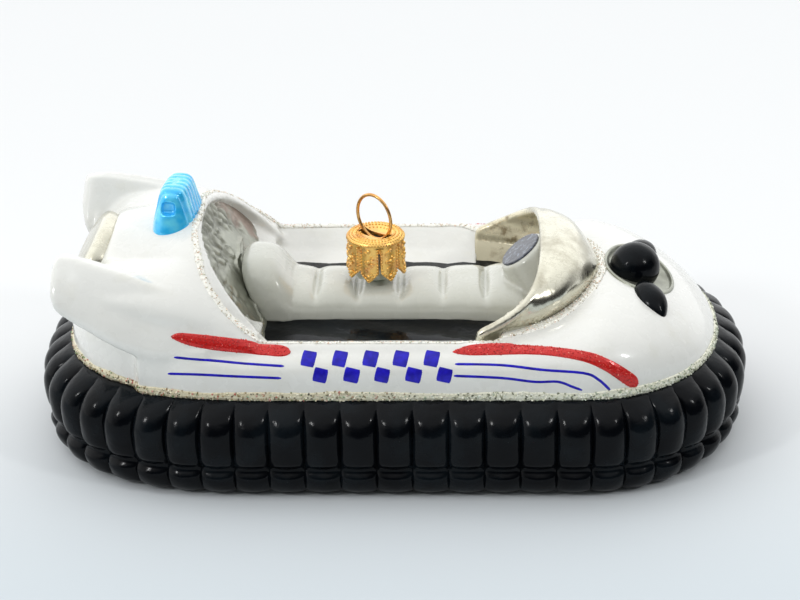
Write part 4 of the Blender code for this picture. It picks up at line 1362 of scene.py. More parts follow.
# %% [markdown]
# Behind the hoop stands the fan bulkhead, an oval of dull silver. The mould gave it a pebbled face, an
# oval boss and a double step beside the backrest. Its pebbles are cells of a Voronoi pattern. Geometry
# Nodes press the grooves between them in, and keep how deep each point lies, so that the finish can paint
# shade into the grooves.

# %% Pebble rule
PEBBLE_SQUEEZE = (1.0, 1.0, 0.62)
WOBBLE_SCALE = 400.0
WOBBLE = 0.0016
GROOVE_EDGE = 0.28
PATCH_SCALE = 130.0
PATCH_RANGE = (0.36, 0.58)


def pebble_rule():
    r = Rule("pebbles", Cell="float", Depth="float", Material="material")
    spot = r.node("GeometryNodeInputPosition")
    wobble = r.node("ShaderNodeTexNoise", {"Vector": spot, "Scale": WOBBLE_SCALE, "Detail": 2.0}, "Color")
    spread = r.vector("SCALE", r.vector("SUBTRACT", wobble, (0.5, 0.5, 0.5)), scale=WOBBLE)
    edge = r.node("ShaderNodeTexVoronoi",
                  {"Vector": r.vector("ADD", r.vector("MULTIPLY", spot, PEBBLE_SQUEEZE), spread),
                   "Scale": 1.0 / r.given("Cell")}, out="Distance", feature="DISTANCE_TO_EDGE")
    pebble = r.step(edge, 0.0, GROOVE_EDGE)
    patch = r.node("ShaderNodeTexNoise", {"Vector": spot, "Scale": PATCH_SCALE, "Detail": 1.0}, "Fac")
    strength = r.step(patch, *PATCH_RANGE)
    push = (pebble - 1.0) * strength * r.given("Depth")
    moved = r.node("GeometryNodeSetPosition",
                   {"Geometry": r.given("Geometry"),
                    "Offset": r.vector("SCALE", r.node("GeometryNodeInputNormal"), scale=push)})
    # groove holds how far a point lies in a groove, where the finish paints shade
    return r.finish(r.store(moved, "groove", (1.0 - pebble) * strength))


PEBBLES = pebble_rule()
print("nodes in the pebble rule:", len(PEBBLES.tree.nodes))

# %% [markdown]
# The bulkhead's plate is drawn as rings from its middle out to the hoop. Each ring is lifted by the
# moulded lines it crosses: soft ridges, whose height falls off with the distance to a line.

# %% Fan bulkhead
FLOOR_Z = 22.0
BULKHEAD_X = -23.6
BULKHEAD_FOOT_Z = 21.4
BULKHEAD_OVERLAP = 0.35
BULKHEAD_THICKNESS = 0.9
BULKHEAD_MIDDLE = (0.0, 7.0)
BULKHEAD_RINGS = 64
PEBBLE = 2.1
PEBBLE_DEPTH = 0.42
# middle across and up the slope, half width and half height of the boss
BOSS = (-0.4, 12.2, 1.25, 1.35)
# height and reach of the ridge round the boss and of the steps, height and share of the boss's face
BOSS_RIDGE = (0.28, 0.22)
BOSS_FACE = (0.25, 0.85)
STEP_RIDGE = (0.42, 0.32)
# y and distance up the slope from the floor
STEP_LINES = (
    ((9.0, 10.0), (5.2, 10.4), (2.6, 9.8), (-0.8, 10.2), (-2.2, 9.9), (-3.2, 8.6), (-3.9, 7.2), (-5.4, 5.9),
     (-7.2, 4.4), (-8.8, 2.5), (-10.6, 0.6)),
    ((7.4, 9.6), (4.4, 9.4), (1.2, 8.8), (-1.0, 7.6), (-2.2, 6.0), (-3.7, 4.4), (-5.3, 2.6), (-7.0, 0.6)),
)


def line_distance(y, h, line):
    """Distance from points to a line of points."""
    best = np.full(np.shape(y), np.inf)
    for (y0, h0), (y1, h1) in zip(line, line[1:]):
        run = np.array((y1 - y0, h1 - h0))
        share = np.clip(((y - y0) * run[0] + (h - h0) * run[1]) / run.dot(run), 0.0, 1.0)
        best = np.minimum(best, np.hypot(y - y0 - share * run[0], h - h0 - share * run[1]))
    return best


def bulkhead_relief(y, h):
    """Height of the moulded lines: a ring round the boss, and two steps."""
    boss_y, boss_h, half_y, half_h = BOSS
    ring = np.hypot((y - boss_y) / half_y, (h - boss_h) / half_h)
    relief = BOSS_RIDGE[0] * np.exp(-((ring - 1.0) / BOSS_RIDGE[1]) ** 2)
    relief += BOSS_FACE[0] * (ring < BOSS_FACE[1])
    for line in STEP_LINES:
        relief += STEP_RIDGE[0] * np.exp(-(line_distance(y, h, line) / STEP_RIDGE[1]) ** 2)
    return relief


def make_bulkhead():
    _, half_width, foot_z, top_z, lean, exponent, _ = RECESS_HOOP
    lean /= top_z - foot_z
    slope = Vector((lean, 0.0, 1.0)).normalized()
    normal = Vector((slope.z, 0.0, -slope.x))
    hoop = leaning_hoop(BULKHEAD_X, half_width + BULKHEAD_OVERLAP, foot_z, top_z + BULKHEAD_OVERLAP, exponent,
                        lean, BULKHEAD_FOOT_Z, foot_z)
    base = [(0, y, BULKHEAD_FOOT_Z) for y in np.linspace(-half_width, half_width, 50)]
    edge = np.array([(y, (z - FLOOR_Z) / slope.z) for _, y, z in [*even_path(hoop[:-2], 0.5), *base]])
    middle = np.array(BULKHEAD_MIDDLE)
    foot = Vector((BULKHEAD_X + lean * (FLOOR_Z - foot_z), 0.0, FLOOR_Z))
    rings = []
    for share in np.linspace(0.01, 1.0, BULKHEAD_RINGS):
        flat = middle + (edge - middle) * share
        lift = bulkhead_relief(flat[:, 0], flat[:, 1])
        rings.append([foot + slope * h + normal * up + Vector((0.0, y, 0.0))
                      for (y, h), up in zip(flat, lift)])
    rings.append([point - normal * BULKHEAD_THICKNESS for point in rings[-1]])
    plate = solid("fan_face", skin(rings))
    mesh = plate.data
    bpy.data.objects.remove(plate)
    face = run_rule("fan_face", PEBBLES, mesh, Cell=PEBBLE * MM, Depth=PEBBLE_DEPTH * MM,
                    Material=finishes["dull"])
    dress(face, "dull", replaces=["fan_bulkhead"])


make_bulkhead()

# %% [markdown]
# The fan outlet closes the housing's aft end as a bulging oval of bare silvered glass, like the side of a
# cushion. Ovals that shrink as they rise from the sloping end give it a steep edge and a full crown.

# %% Fan outlet
OUTLET_CENTRE_RISE = 5.4
OUTLET_HALF = (10.2, 6.1)
OUTLET_ROUND = 2.2
OUTLET_STEPS = 96
# share of the oval, height above the housing's end
OUTLET_SWELL = (
    (0.985, -1.2), (1.0, 0.2), (0.995, 1.1), (0.96, 1.8), (0.88, 2.3), (0.72, 2.65), (0.5, 2.85),
    (0.25, 2.95), (0.02, 2.97),
)


def make_outlet():
    x, _, foot_z, top_z, lean, _, _ = HOUSING_HOOPS[-1]
    slope = Vector((lean, 0.0, top_z - foot_z)).normalized()
    aft = Vector((-slope.z, 0.0, slope.x))
    centre = Vector((x, 0.0, foot_z)) + slope * OUTLET_CENTRE_RISE
    rings = []
    for share, lift in smooth_rows(OUTLET_SWELL, 3):
        ring = []
        for across, up in (superellipse(angle, OUTLET_ROUND) for angle in turns(OUTLET_STEPS)):
            ring.append(centre + slope * (OUTLET_HALF[1] * share * up) + aft * lift
                        + Vector((0.0, OUTLET_HALF[0] * share * across, 0.0)))
        rings.append(ring)
    dress(solid("silver_outlet", skin(rings)), "silver", replaces=["fan_outlet"])


make_outlet()

# %% [markdown]
# The blue beacon lies across the housing like a small loaf, turned a few degrees, with rings pressed
# round it and a small window sunk in its starboard end. Ovals laid on top of each other give the loaf,
# and each ring pulls its points in towards the middle. The rings fade out low down on the sides.

# %% Beacon
BEACON_CENTRE = Vector((-38.05, 0.0, 0.0))
BEACON_TURN = math.radians(-8.0)
# height, half width, half length
BEACON_LEVELS = (
    (35.6, 4.2, 7.6), (38.4, 3.9, 7.3), (40.4, 3.5, 6.6), (42.2, 3.05, 6.0), (43.7, 2.7, 5.5),
    (44.7, 2.35, 5.05), (45.25, 1.95, 4.5), (45.55, 1.3, 3.5), (45.62, 0.5, 1.8),
)
BEACON_ROUND = 3.0
BEACON_STEPS = 200
BEACON_CORE_Z = 40.0
NEVER_ZERO = 1e-6
# place along the loaf, depth, half width of each ring
BEACON_RINGS = (
    (-4.35, 0.42, 0.30), (-2.7, 0.20, 0.26), (-1.3, 0.20, 0.26), (0.1, 0.20, 0.26), (1.5, 0.20, 0.26),
    (2.9, 0.20, 0.26), (4.3, 0.30, 0.26),
)
RINGS_FROM_Z = 37.5
RINGS_FADE = 2.5
PANE_CENTRE = (-0.15, -6.0, 42.6)
PANE_HALF = (1.25, 1.15, 1.15)
PANE_ROUND = 4.0
BEACON_VOXEL = 0.16
BEACON_ROUNDS = 3


def beacon_form():
    rings = []
    for height, half_width, half_length in smooth_rows(BEACON_LEVELS, 7):
        above = max(height - BEACON_CORE_Z, 0.0)
        fade = min(1.0, max(0.0, (height - RINGS_FROM_Z) / RINGS_FADE))
        ring = []
        for across, along in (superellipse(angle, BEACON_ROUND) for angle in turns(BEACON_STEPS)):
            u, v = half_width * across, half_length * along
            out = math.hypot(u, above) + NEVER_ZERO
            pull = fade * sum(depth * math.exp(-((v - place) / width) ** 2)
                              for place, depth, width in BEACON_RINGS)
            ring.append((u * (1.0 - pull / out), v, height - pull * above / out))
        rings.append(ring)
    return skin(rings)


def rounded_block(centre, half, exponent):
    x, y, z = centre
    half_x, half_y, half_z = half
    rings = []
    for level in np.linspace(-0.98, 0.98, 13):
        share = (1.0 - abs(level) ** exponent) ** (1.0 / exponent)
        rings.append([(x + half_x * share * a, y + half_y * share * b, z + half_z * level)
                      for a, b in (superellipse(angle, exponent) for angle in turns(48))])
    return skin(rings)


def make_beacon():
    beacon = solid("blue_beacon", beacon_form())
    cut_away(beacon, solid("window", rounded_block(PANE_CENTRE, PANE_HALF, PANE_ROUND)))
    beacon.data.transform(Matrix.Translation(BEACON_CENTRE * MM) @ Matrix.Rotation(BEACON_TURN, 4, "Z"))
    fuse(beacon, BEACON_VOXEL, BEACON_ROUNDS)
    dress(beacon, "blue", replaces=["beacon_base", "beacon_lamp"])


make_beacon()

# %% [markdown]
# The cap is stamped from gold foil: a domed top and eight petals bent down the neck. The petals are
# panels that turn in at their edges. Rings from the sunken middle outwards, down the petals and back up
# inside give the foil a thin wall.

# %% Cap form
HANGER_X = -3.05
PETALS = 8
SEAM_YAW = math.radians(-80.0)
PETAL_STEPS = 30
PETAL_CREASE = 0.8
PETAL_FULLNESS = 0.3
PETAL_BEND = 1.1
PETAL_BEND_RISE = 0.2
PETAL_TIP_Z = 27.8
PETAL_NOTCH_Z = 29.7
CAP_WALL = 0.34
CAP_TOP_WALL = 0.3
# radius, height, from the sunken middle to the shoulder
CAP_TOP = (
    (0.05, 34.92), (1.0, 34.94), (2.0, 35.02), (2.7, 35.24), (3.2, 35.42), (3.8, 35.5), (4.35, 35.46),
    (4.75, 35.3), (5.0, 35.05), (5.1, 34.7),
)
CAP_SHOULDER_Z = 34.7
CAP_RADIUS = 5.1
CAP_SKIRT = 7.0
CAP_FLARE = 0.12


def petal_hem(turn):
    """Height of the hem at a place on the petal: 0 and 1 are its edges."""
    return PETAL_TIP_Z + (PETAL_NOTCH_Z - PETAL_TIP_Z) * abs(2.0 * turn - 1.0)


def petal_radius(turn, z):
    """Radius of the petal's outside."""
    swell = abs(math.sin(math.pi * turn)) ** PETAL_FULLNESS
    bend = min(1.0, max(0.0, (CAP_SHOULDER_Z + PETAL_BEND_RISE - z) / PETAL_BEND))
    bend = bend * bend * (3.0 - 2.0 * bend)
    return CAP_RADIUS + CAP_FLARE * (CAP_SHOULDER_Z - z) / CAP_SKIRT - PETAL_CREASE * (1.0 - swell) * bend


def around_cap(petal, turn, radius, z):
    angle = SEAM_YAW + 2.0 * math.pi * (petal + turn) / PETALS
    return Vector((HANGER_X + radius * math.cos(angle), radius * math.sin(angle), z))


def cap_form():
    places = [(petal, (step + 0.5) / PETAL_STEPS) for petal in range(PETALS) for step in range(PETAL_STEPS)]

    def petals(start_z, share, wall):
        rows = [(petal, turn, start_z + share * (petal_hem(turn) - start_z)) for petal, turn in places]
        return [around_cap(petal, turn, petal_radius(turn, z) - wall, z) for petal, turn, z in rows]

    rings = [[around_cap(petal, turn, radius, z) for petal, turn in places]
             for radius, z in smooth_rows(CAP_TOP, 2)]
    rings += [petals(CAP_SHOULDER_Z, share, 0.0) for share in np.linspace(0.03, 1.0, 28)]
    rings += [petals(CAP_SHOULDER_Z - CAP_TOP_WALL, share, CAP_WALL) for share in np.linspace(1.0, 0.05, 12)]
    rings.append([around_cap(petal, turn, 0.05, CAP_SHOULDER_Z - 0.25) for petal, turn in places])
    return skin(rings)


print("points in the cap's form:", len(cap_form()[0]))

# %% [markdown]
# The die also pressed scrollwork into the foil. Each curl is a spiral wire laid on the petal, and six of
# them, turned to and fro, fill a petal.

# %% Scrollwork
CURL_START = 0.4
CURL_TURN = 4.6
CURL_SHRINK = 0.72
CURL_LIFT = 0.02
CURL_RADIUS = 0.19
CURL_SIDES = 6
PETAL_WIDTH = 3.9
# place across the petal, height, size, sense of each curl
CURLS = (
    (0.36, 33.2, 0.55, 1), (0.64, 32.6, 0.5, -1), (0.37, 31.7, 0.5, -1), (0.63, 31.1, 0.55, 1),
    (0.42, 30.2, 0.5, 1), (0.6, 29.6, 0.4, -1),
)


def scroll(petal, turn, z, size, side):
    path = []
    for step in np.linspace(0.0, 1.0, 13):
        angle = side * (CURL_START + CURL_TURN * step)
        reach = size * (1.0 - CURL_SHRINK * step)
        across = turn + reach * math.cos(angle) / PETAL_WIDTH
        height = z + reach * math.sin(angle)
        path.append(around_cap(petal, across, petal_radius(across, height) + CURL_LIFT, height))
    return swept_bar(path, CURL_RADIUS, CURL_SIDES)


scrollwork = [scroll(petal, *curl) for petal in range(PETALS) for curl in CURLS]
print("curls:", len(scrollwork))

# %% [markdown]
# Two cuts finish the cap: the slot for the wire, and the one seam between petals that stands open. It
# faces the camera. The cap rides on its own body, because it pulls up off the neck.

# %% Cap
CAP_BODY = "cap"
SLOT = (6.2, 2.0, 2.4)
SLOT_Z = 35.0
SLOT_YAW = math.radians(-33.0)
SEAM_GAP = (3.0, 0.34, 6.2)
# distance from the cap's middle, height
SEAM_PLACE = (5.0, 30.2)
SEAM_SLANT = math.radians(1.5)
SHARP_FOLD = math.radians(40.0)


def block(size, place):
    bm = bmesh.new()
    bmesh.ops.create_cube(bm, size=1.0)
    bmesh.ops.transform(bm, matrix=place @ Matrix.Diagonal((*size, 1.0)), verts=bm.verts)
    points = [vert.co.copy() for vert in bm.verts]
    faces = [[vert.index for vert in face.verts] for face in bm.faces]
    bm.free()
    return points, faces


def make_cap():
    cap = solid("gold_cap", cap_form())
    place = Matrix.Translation((HANGER_X, 0.0, SLOT_Z)) @ Matrix.Rotation(SLOT_YAW, 4, "Z")
    cut_away(cap, solid("slot", block(SLOT, place)))
    seam = Matrix.Translation((HANGER_X, 0.0, SEAM_PLACE[1])) @ Matrix.Rotation(SEAM_YAW, 4, "Z")
    seam @= Matrix.Translation((SEAM_PLACE[0], 0.0, 0.0)) @ Matrix.Rotation(SEAM_SLANT, 4, "X")
    cut_away(cap, solid("seam", block(SEAM_GAP, seam)))
    lay_in(cap, solid("curls", *scrollwork))
    dress(cap, "gold", body=CAP_BODY, replaces=["hanger_cap"])
    cap.data.set_sharp_from_angle(angle=SHARP_FOLD)


make_cap()

# %% [markdown]
# Small beads edge every petal and ring the cap's top. Geometry Nodes set one small ball on each point,
# with the point's own size. No bead lies over the slot.

# %% Cap beads
BEAD_RADIUS = 0.23
BEAD_SINK = 0.02
EDGE_TURNS = (0.1, 0.9)
# height of the first bead on an edge, least height above the hem, step down
EDGE_BEADS = (34.0, 0.3, -0.56)
# first and last place across the petal, number of beads
HEM_TURNS = (0.14, 0.86, 8)
HEM_RISE = 0.28
HEM_SIZE = 1.05
MIDDLE_BEADS = (33.9, 31.9, 29.0)
MIDDLE_SIZE = 1.7
# radius, number of beads, size of each ring on the top
TOP_RINGS = ((5.06, 60, 0.9), (4.72, 54, 0.8), (4.2, 44, 0.9), (3.5, 38, 1.0), (2.75, 26, 0.75))
# along and across the slot, where no bead lies
SLOT_CLEAR = (3.3, 0.95)


def bead_rule():
    r = Rule("beads", Radius="float", Material="material")
    ball = r.node("GeometryNodeMeshUVSphere", {"Segments": 8, "Rings": 5, "Radius": r.given("Radius")})
    points = r.node("GeometryNodeMeshToPoints", {"Mesh": r.given("Geometry")})
    return r.finish(r.node("GeometryNodeInstanceOnPoints", {"Points": points, "Instance": ball,
                                                            "Scale": r.named("size")}))


def bead_places():
    places = []
    first_z, above_hem, pitch = EDGE_BEADS
    for petal in range(PETALS):
        for turn in EDGE_TURNS:
            for z in np.arange(first_z, petal_hem(turn) + above_hem, pitch):
                places.append((around_cap(petal, turn, petal_radius(turn, z) + BEAD_SINK, z), 1.0))
        for turn in np.linspace(*HEM_TURNS):
            z = petal_hem(turn) + HEM_RISE
            places.append((around_cap(petal, turn, petal_radius(turn, z) + BEAD_SINK, z), HEM_SIZE))
        for z in MIDDLE_BEADS:
            places.append((around_cap(petal, 0.5, petal_radius(0.5, z), z), MIDDLE_SIZE))
    top = np.array(smooth_rows(CAP_TOP, 4))
    for radius, count, size in TOP_RINGS:
        z = np.interp(radius, top[:, 0], top[:, 1])
        for k in range(count):
            place = around_cap(0, PETALS * k / count, radius, z)
            along = place - Vector((HANGER_X, 0.0, z))
            run = abs(along.x * math.cos(SLOT_YAW) + along.y * math.sin(SLOT_YAW))
            aside = abs(along.x * math.sin(SLOT_YAW) - along.y * math.cos(SLOT_YAW))
            if run > SLOT_CLEAR[0] or aside > SLOT_CLEAR[1]:
                places.append((place, size))
    return places


def make_beads():
    places = bead_places()
    start = path_mesh("beads", [([place for place, _ in places], False)], size=[size for _, size in places])
    beads = run_rule("cap_beads", bead_rule(), start, Radius=BEAD_RADIUS * MM, Material=finishes["gold"])
    dress(beads, "gold", body=CAP_BODY)


make_beads()

# %% [markdown]
# The wire loop is one length of copper-gold wire. It is bent into an upright oval that leans a little,
# and its lowest arc runs under the cap's top. It rides on its own body, so it can tilt in the slot.

# %% Wire loop
LOOP_BODY = "loop"
LOOP_HALF_WIDTH = 3.55
LOOP_HALF_HEIGHT = 4.15
LOOP_RISE = 3.2
LOOP_LEAN = 0.07
LOOP_STEPS = 120
WIRE_RADIUS = 0.3
WIRE_SIDES = 14
PLATE_Z = 35.2


def make_loop():
    centre = Vector((HANGER_X, 0.0, PLATE_Z + LOOP_RISE))
    along = Vector((math.cos(SLOT_YAW), math.sin(SLOT_YAW), 0.0))
    across = Vector((-along.y, along.x, 0.0))
    up = Vector((0.0, 0.0, 1.0))
    points = []
    for angle in turns(LOOP_STEPS):
        height = LOOP_HALF_HEIGHT * math.sin(angle)
        aside = LOOP_HALF_WIDTH * math.cos(angle) - LOOP_LEAN * (LOOP_RISE + height)
        point = centre + along * aside + up * height
        out = along * math.cos(angle) / LOOP_HALF_WIDTH + up * math.sin(angle) / LOOP_HALF_HEIGHT
        out.normalize()
        points += [point + (out * math.cos(turn) + across * math.sin(turn)) * WIRE_RADIUS
                   for turn in turns(WIRE_SIDES)]
    faces = []
    for k in range(LOOP_STEPS):
        here, after = k * WIRE_SIDES, (k + 1) % LOOP_STEPS * WIRE_SIDES
        for j in range(WIRE_SIDES):
            turned = (j + 1) % WIRE_SIDES
            faces.append((here + j, here + turned, after + turned, after + j))
    dress(solid("wire_loop", (points, faces)), "copper", body=LOOP_BODY,
          replaces=["hanger_ring"])


make_loop()

# %% [markdown]
# The cockpit floor is black lacquer between the saddle and the walls. A brush laid it on across the
# craft, so two crossing waves of a few hundredths of a millimetre ripple its gloss.

# %% Cockpit floor
# x, half width
FLOOR_EDGE = ((-26.5, 17.5), (12.5, 17.5), (15.0, 19.4), (20.0, 18.0), (26.0, 14.0), (29.5, 8.0))
FLOOR_THICKNESS = 1.2
RIPPLE_ALONG = 0.06
RIPPLE_ACROSS = 0.09


def ripple(x, y):
    return (RIPPLE_ALONG * math.sin(1.1 * x + 0.8 * math.sin(0.5 * y))
            + RIPPLE_ACROSS * math.sin(0.9 * y + 0.3 * x))


def make_floor():
    rings = []
    for x, half in smooth_rows(FLOOR_EDGE, 18):
        top = [(x, half * share, FLOOR_Z + ripple(x, half * share)) for share in np.linspace(-1.0, 1.0, 61)]
        rings.append(top + [(x, y, FLOOR_Z - FLOOR_THICKNESS) for x, y, _ in reversed(top)])
    dress(solid("black_floor", skin(rings)), "black", replaces=["cockpit_floor"])


make_floor()

# %% [markdown]
# Glitter and paint lie on the lacquer as low beads. One Geometry Nodes rule makes them all: each line is
# swept with a round section, every point of the section is dropped onto the body's nearest surface and
# raised by a low arch, and small facets are strewn over the arch with a tint of their own.

# %% Brush rule
BEAD_MERGE = 2e-6
BEAD_TINT = 0.45
ANY_TURN = ((0.0, 0.0, 0.0), (6.28, 6.28, 6.28))
GRAIN_SIZES = ((0.5, 0.5, 0.35), (1.3, 1.3, 0.8))
# the sockets of a random value: low, high and result
CHANCE_SOCKETS = {"FLOAT": (2, 3, 1), "FLOAT_VECTOR": (0, 1, 0)}


def brush_rule():
    r = Rule("brush", Body="object", Lift="float", Sink="float", Sides="int", Grain="float",
             Density="float", Seed="int", Material="material")
    target = r.node("GeometryNodeObjectInfo", {"Object": r.given("Body")}, out="Geometry")
    line, (centre, tangent, half) = r.keep(
        r.node("GeometryNodeMeshToCurve", {"Mesh": r.given("Geometry")}),
        {"centre": ("VECTOR", r.node("GeometryNodeInputPosition")),
         "tangent": ("VECTOR", r.node("GeometryNodeInputTangent")),
         "half": ("FLOAT", r.named("half_width"))})
    section, (turn,) = r.keep(
        r.node("GeometryNodeCurvePrimitiveCircle", {"Resolution": r.given("Sides")}),
        {"turn": ("FLOAT", r.node("GeometryNodeSplineParameter", out="Factor"))})
    bead = r.node("GeometryNodeCurveToMesh", {"Curve": line, "Profile Curve": section, "Fill Caps": True})

    def surface_normal(place):
        return r.node("GeometryNodeSampleNearestSurface",
                      {"Mesh": target, "Value": r.node("GeometryNodeInputNormal"), "Sample Position": place},
                      out="Value", data_type="FLOAT_VECTOR")

    across = r.vector("NORMALIZE", r.vector("CROSS_PRODUCT", surface_normal(centre), tangent))
    angle = turn * (2.0 * math.pi)
    aside = angle.maths("COSINE", angle) * half
    rise = angle.maths("SINE", angle)
    spot = r.vector("ADD", centre, r.vector("SCALE", across, scale=aside))
    near = r.node("GeometryNodeProximity", {"Geometry": target, "Sample Position": spot}, out="Position",
                  target_element="FACES")
    top = rise > 0.0
    lift = rise * (top * r.given("Lift") + (1.0 - top) * r.given("Sink"))
    lift = lift * half.maths("MINIMUM", half / r.given("Lift") * 0.5, 1.0)
    placed = r.vector("ADD", near, r.vector("SCALE", surface_normal(spot), scale=lift))
    bead = r.node("GeometryNodeSetPosition", {"Geometry": bead, "Position": placed})
    bead = r.node("GeometryNodeMergeByDistance", {"Geometry": bead, "Distance": BEAD_MERGE})
    bead = r.store(bead, "tint", BEAD_TINT)

    def chance(low, high, offset, kind="FLOAT"):
        first, second, out = CHANCE_SOCKETS[kind]
        return r.node("FunctionNodeRandomValue", {first: low, second: high, "Seed": offset}, out,
                      data_type=kind)

    strewn = r.node("GeometryNodeDistributePointsOnFaces",
                    {"Mesh": bead, "Selection": top, "Density": r.given("Density"), "Seed": r.given("Seed")},
                    out="Points")
    facet = r.node("GeometryNodeMeshIcoSphere", {"Radius": r.given("Grain"), "Subdivisions": 1})
    grains = r.node("GeometryNodeInstanceOnPoints",
                    {"Points": strewn, "Instance": facet,
                     "Rotation": chance(*ANY_TURN, 1, "FLOAT_VECTOR"),
                     "Scale": chance(*GRAIN_SIZES, 2, "FLOAT_VECTOR")})
    grains = r.store(grains, "tint", chance(0.0, 1.0, 3), "INSTANCE")
    both = r.node("GeometryNodeJoinGeometry", {0: grains})
    r.feed(both.socket.node.inputs[0], bead)
    return r.finish(both)


BRUSH = brush_rule()


def brushed(name, strokes, finish, lift, sink=0.25, grain=0.0, density=0.0, seed=1, sides=12):
    """Beads along strokes, each a path of (x, y, z, half width) rows and whether it is a ring."""
    widths = [row[3] * MM for path, _ in strokes for row in path]
    start = path_mesh(name, [([row[:3] for row in path], ring) for path, ring in strokes], half_width=widths)
    thing = run_rule(name, BRUSH, start, Body=body, Lift=lift * MM, Sink=sink * MM, Sides=sides,
                     Grain=grain * MM, Density=density / MM ** 2, Seed=seed, Material=finishes[finish])
    bm = bmesh.new()
    bm.from_mesh(thing.data)
    bmesh.ops.recalc_face_normals(bm, faces=bm.faces)
    bm.to_mesh(thing.data)
    bm.free()
    dress(thing, finish, smooth=not grain)


def mirrored(points, drop=0.0):
    return [(x, -y, z - drop, *rest) for x, y, z, *rest in points]


print("nodes in the brush rule:", len(BRUSH.tree.nodes))

# %% [markdown]
# The stripes on each side are painted freehand: a red glitter stripe at the stern and one at the bow,
# with two thin blue lines below each. Their places follow the wall, so a few points are enough for each
# line. On the port side the red stripes lie a little lower.

# %% Stripes
# x, y, z, half width
RED_STRIPES = (
    ((-36.9, -26.2, 28.1, 0.15), (-35.6, -26.2, 28.0, 0.75), (-32.1, -26.3, 27.3, 1.15),
     (-27.0, -26.2, 26.5, 1.2), (-22.0, -25.6, 25.6, 1.15), (-18.6, -25.7, 25.1, 1.15),
     (-17.2, -25.9, 25.0, 0.7), (-16.8, -26.0, 25.0, 0.2)),
    ((10.8, -25.9, 25.0, 0.1), (12.0, -25.8, 25.0, 0.6), (14.4, -25.6, 25.2, 1.1),
     (17.8, -25.4, 25.3, 1.25), (22.2, -25.4, 25.2, 1.15), (26.1, -25.9, 25.3, 1.0),
     (29.3, -26.5, 25.2, 0.95), (32.1, -27.1, 25.0, 0.95), (34.3, -27.4, 24.5, 1.0),
     (36.4, -27.8, 23.7, 1.05), (38.1, -27.7, 22.6, 1.1), (39.8, -27.6, 21.3, 1.15),
     (41.2, -27.2, 20.0, 1.1), (41.8, -27.0, 19.3, 0.75), (42.0, -26.9, 18.9, 0.2)),
)
# x, y, z
BLUE_LINES = (
    ((-36.5, -27.3, 24.8), (-30.4, -27.6, 24.3), (-23.6, -27.9, 23.8), (-17.8, -28.2, 23.5)),
    ((-37.7, -27.4, 21.7), (-32.1, -28.4, 22.0), (-25.3, -28.8, 21.8), (-18.3, -28.8, 21.5)),
    ((11.2, -28.0, 23.8), (19.1, -28.1, 23.6), (26.1, -28.6, 22.9), (33.0, -28.7, 22.3), (35.5, -28.6, 21.0),
     (37.5, -28.4, 18.9)),
    ((11.0, -28.8, 21.9), (19.1, -28.8, 21.5), (24.7, -28.9, 20.8), (28.6, -28.9, 20.8), (31.2, -28.9, 19.8),
     (32.7, -28.9, 19.2)),
)
LINE_HALF_WIDTH = 0.24
STRIPE_STEP = 0.45
LINE_STEP = 0.5
PORT_DROP = 1.1

red = [even_path(stripe, STRIPE_STEP) for stripe in RED_STRIPES]
blue = [even_path([(*point, LINE_HALF_WIDTH) for point in line], LINE_STEP) for line in BLUE_LINES]
for line in blue:
    line[0, 3] = line[-1, 3] = LINE_HALF_WIDTH / 2.0
brushed("red_stripes", [(path, False) for stripe in red for path in (stripe, mirrored(stripe, PORT_DROP))],
        "red", lift=0.22, grain=0.15, density=6.5, seed=5)
brushed("blue_lines", [(path, False) for line in blue for path in (line, mirrored(line))],
        "line", lift=0.06, sides=8)

# %% [markdown]
# Between the stripes lies a hand-painted band of blue and white checks, two rows high and leaning a
# little to the right. Each check is one short dab of the brush. No two dabs are quite alike, so each
# one's place and width wander a little.

# %% Checks
CHECK_START_X = -15.2
CHECK_PITCH = 2.62
CHECK_COLUMNS = 10
CHECK_ROWS = ((-25.7, 25.0), (-28.2, 23.45)), ((-28.4, 23.15), (-28.85, 20.8))
CHECK_LEAN = 0.55
CHECK_HALF_WIDTH = 1.28
CHECK_SHIFT = 0.1
CHECK_WIDTHS = (0.93, 1.05)
CHECK_TAPER = 0.10


def check_dabs():
    chance = random.Random(7)
    dabs = []
    for row, (top, bottom) in enumerate(CHECK_ROWS):
        for column in range(row % 2, CHECK_COLUMNS, 2):
            x = CHECK_START_X + CHECK_PITCH * (column + 0.5) + chance.uniform(-CHECK_SHIFT, CHECK_SHIFT)
            width = CHECK_HALF_WIDTH * chance.uniform(*CHECK_WIDTHS)
            dab = []
            for share in np.linspace(0.0, 1.0, 7):
                y, z = (a + share * (b - a) for a, b in zip(top, bottom))
                swell = width * (1.0 - CHECK_TAPER * abs(2.0 * share - 1.0) ** 6)
                dab.append((x + CHECK_LEAN * (0.5 - row) + CHECK_LEAN * (0.5 - share), y, z, swell))
            dabs.append(dab)
    return dabs


brushed("blue_checks", [(path, False) for dab in check_dabs() for path in (dab, mirrored(dab))], "line",
        lift=0.07, sides=16)

# %% [markdown]
# Loose glitter hides each seam of the glass: a broad band where the white body meets the skirt, and a
# thin line round the whole cockpit, over the hoop, along both sills and round the windscreen's foot.

# %% Glitter bands
SEAM_BAND_INSET = 5.2
SEAM_BAND_Z = 17.9
SEAM_BAND_HALF = 0.85
SEAM_BAND_STEP = 0.55
COCKPIT_LINE_STEP = 0.5
# how many steps of the path one swell of the glitter takes up
WANDER = 9
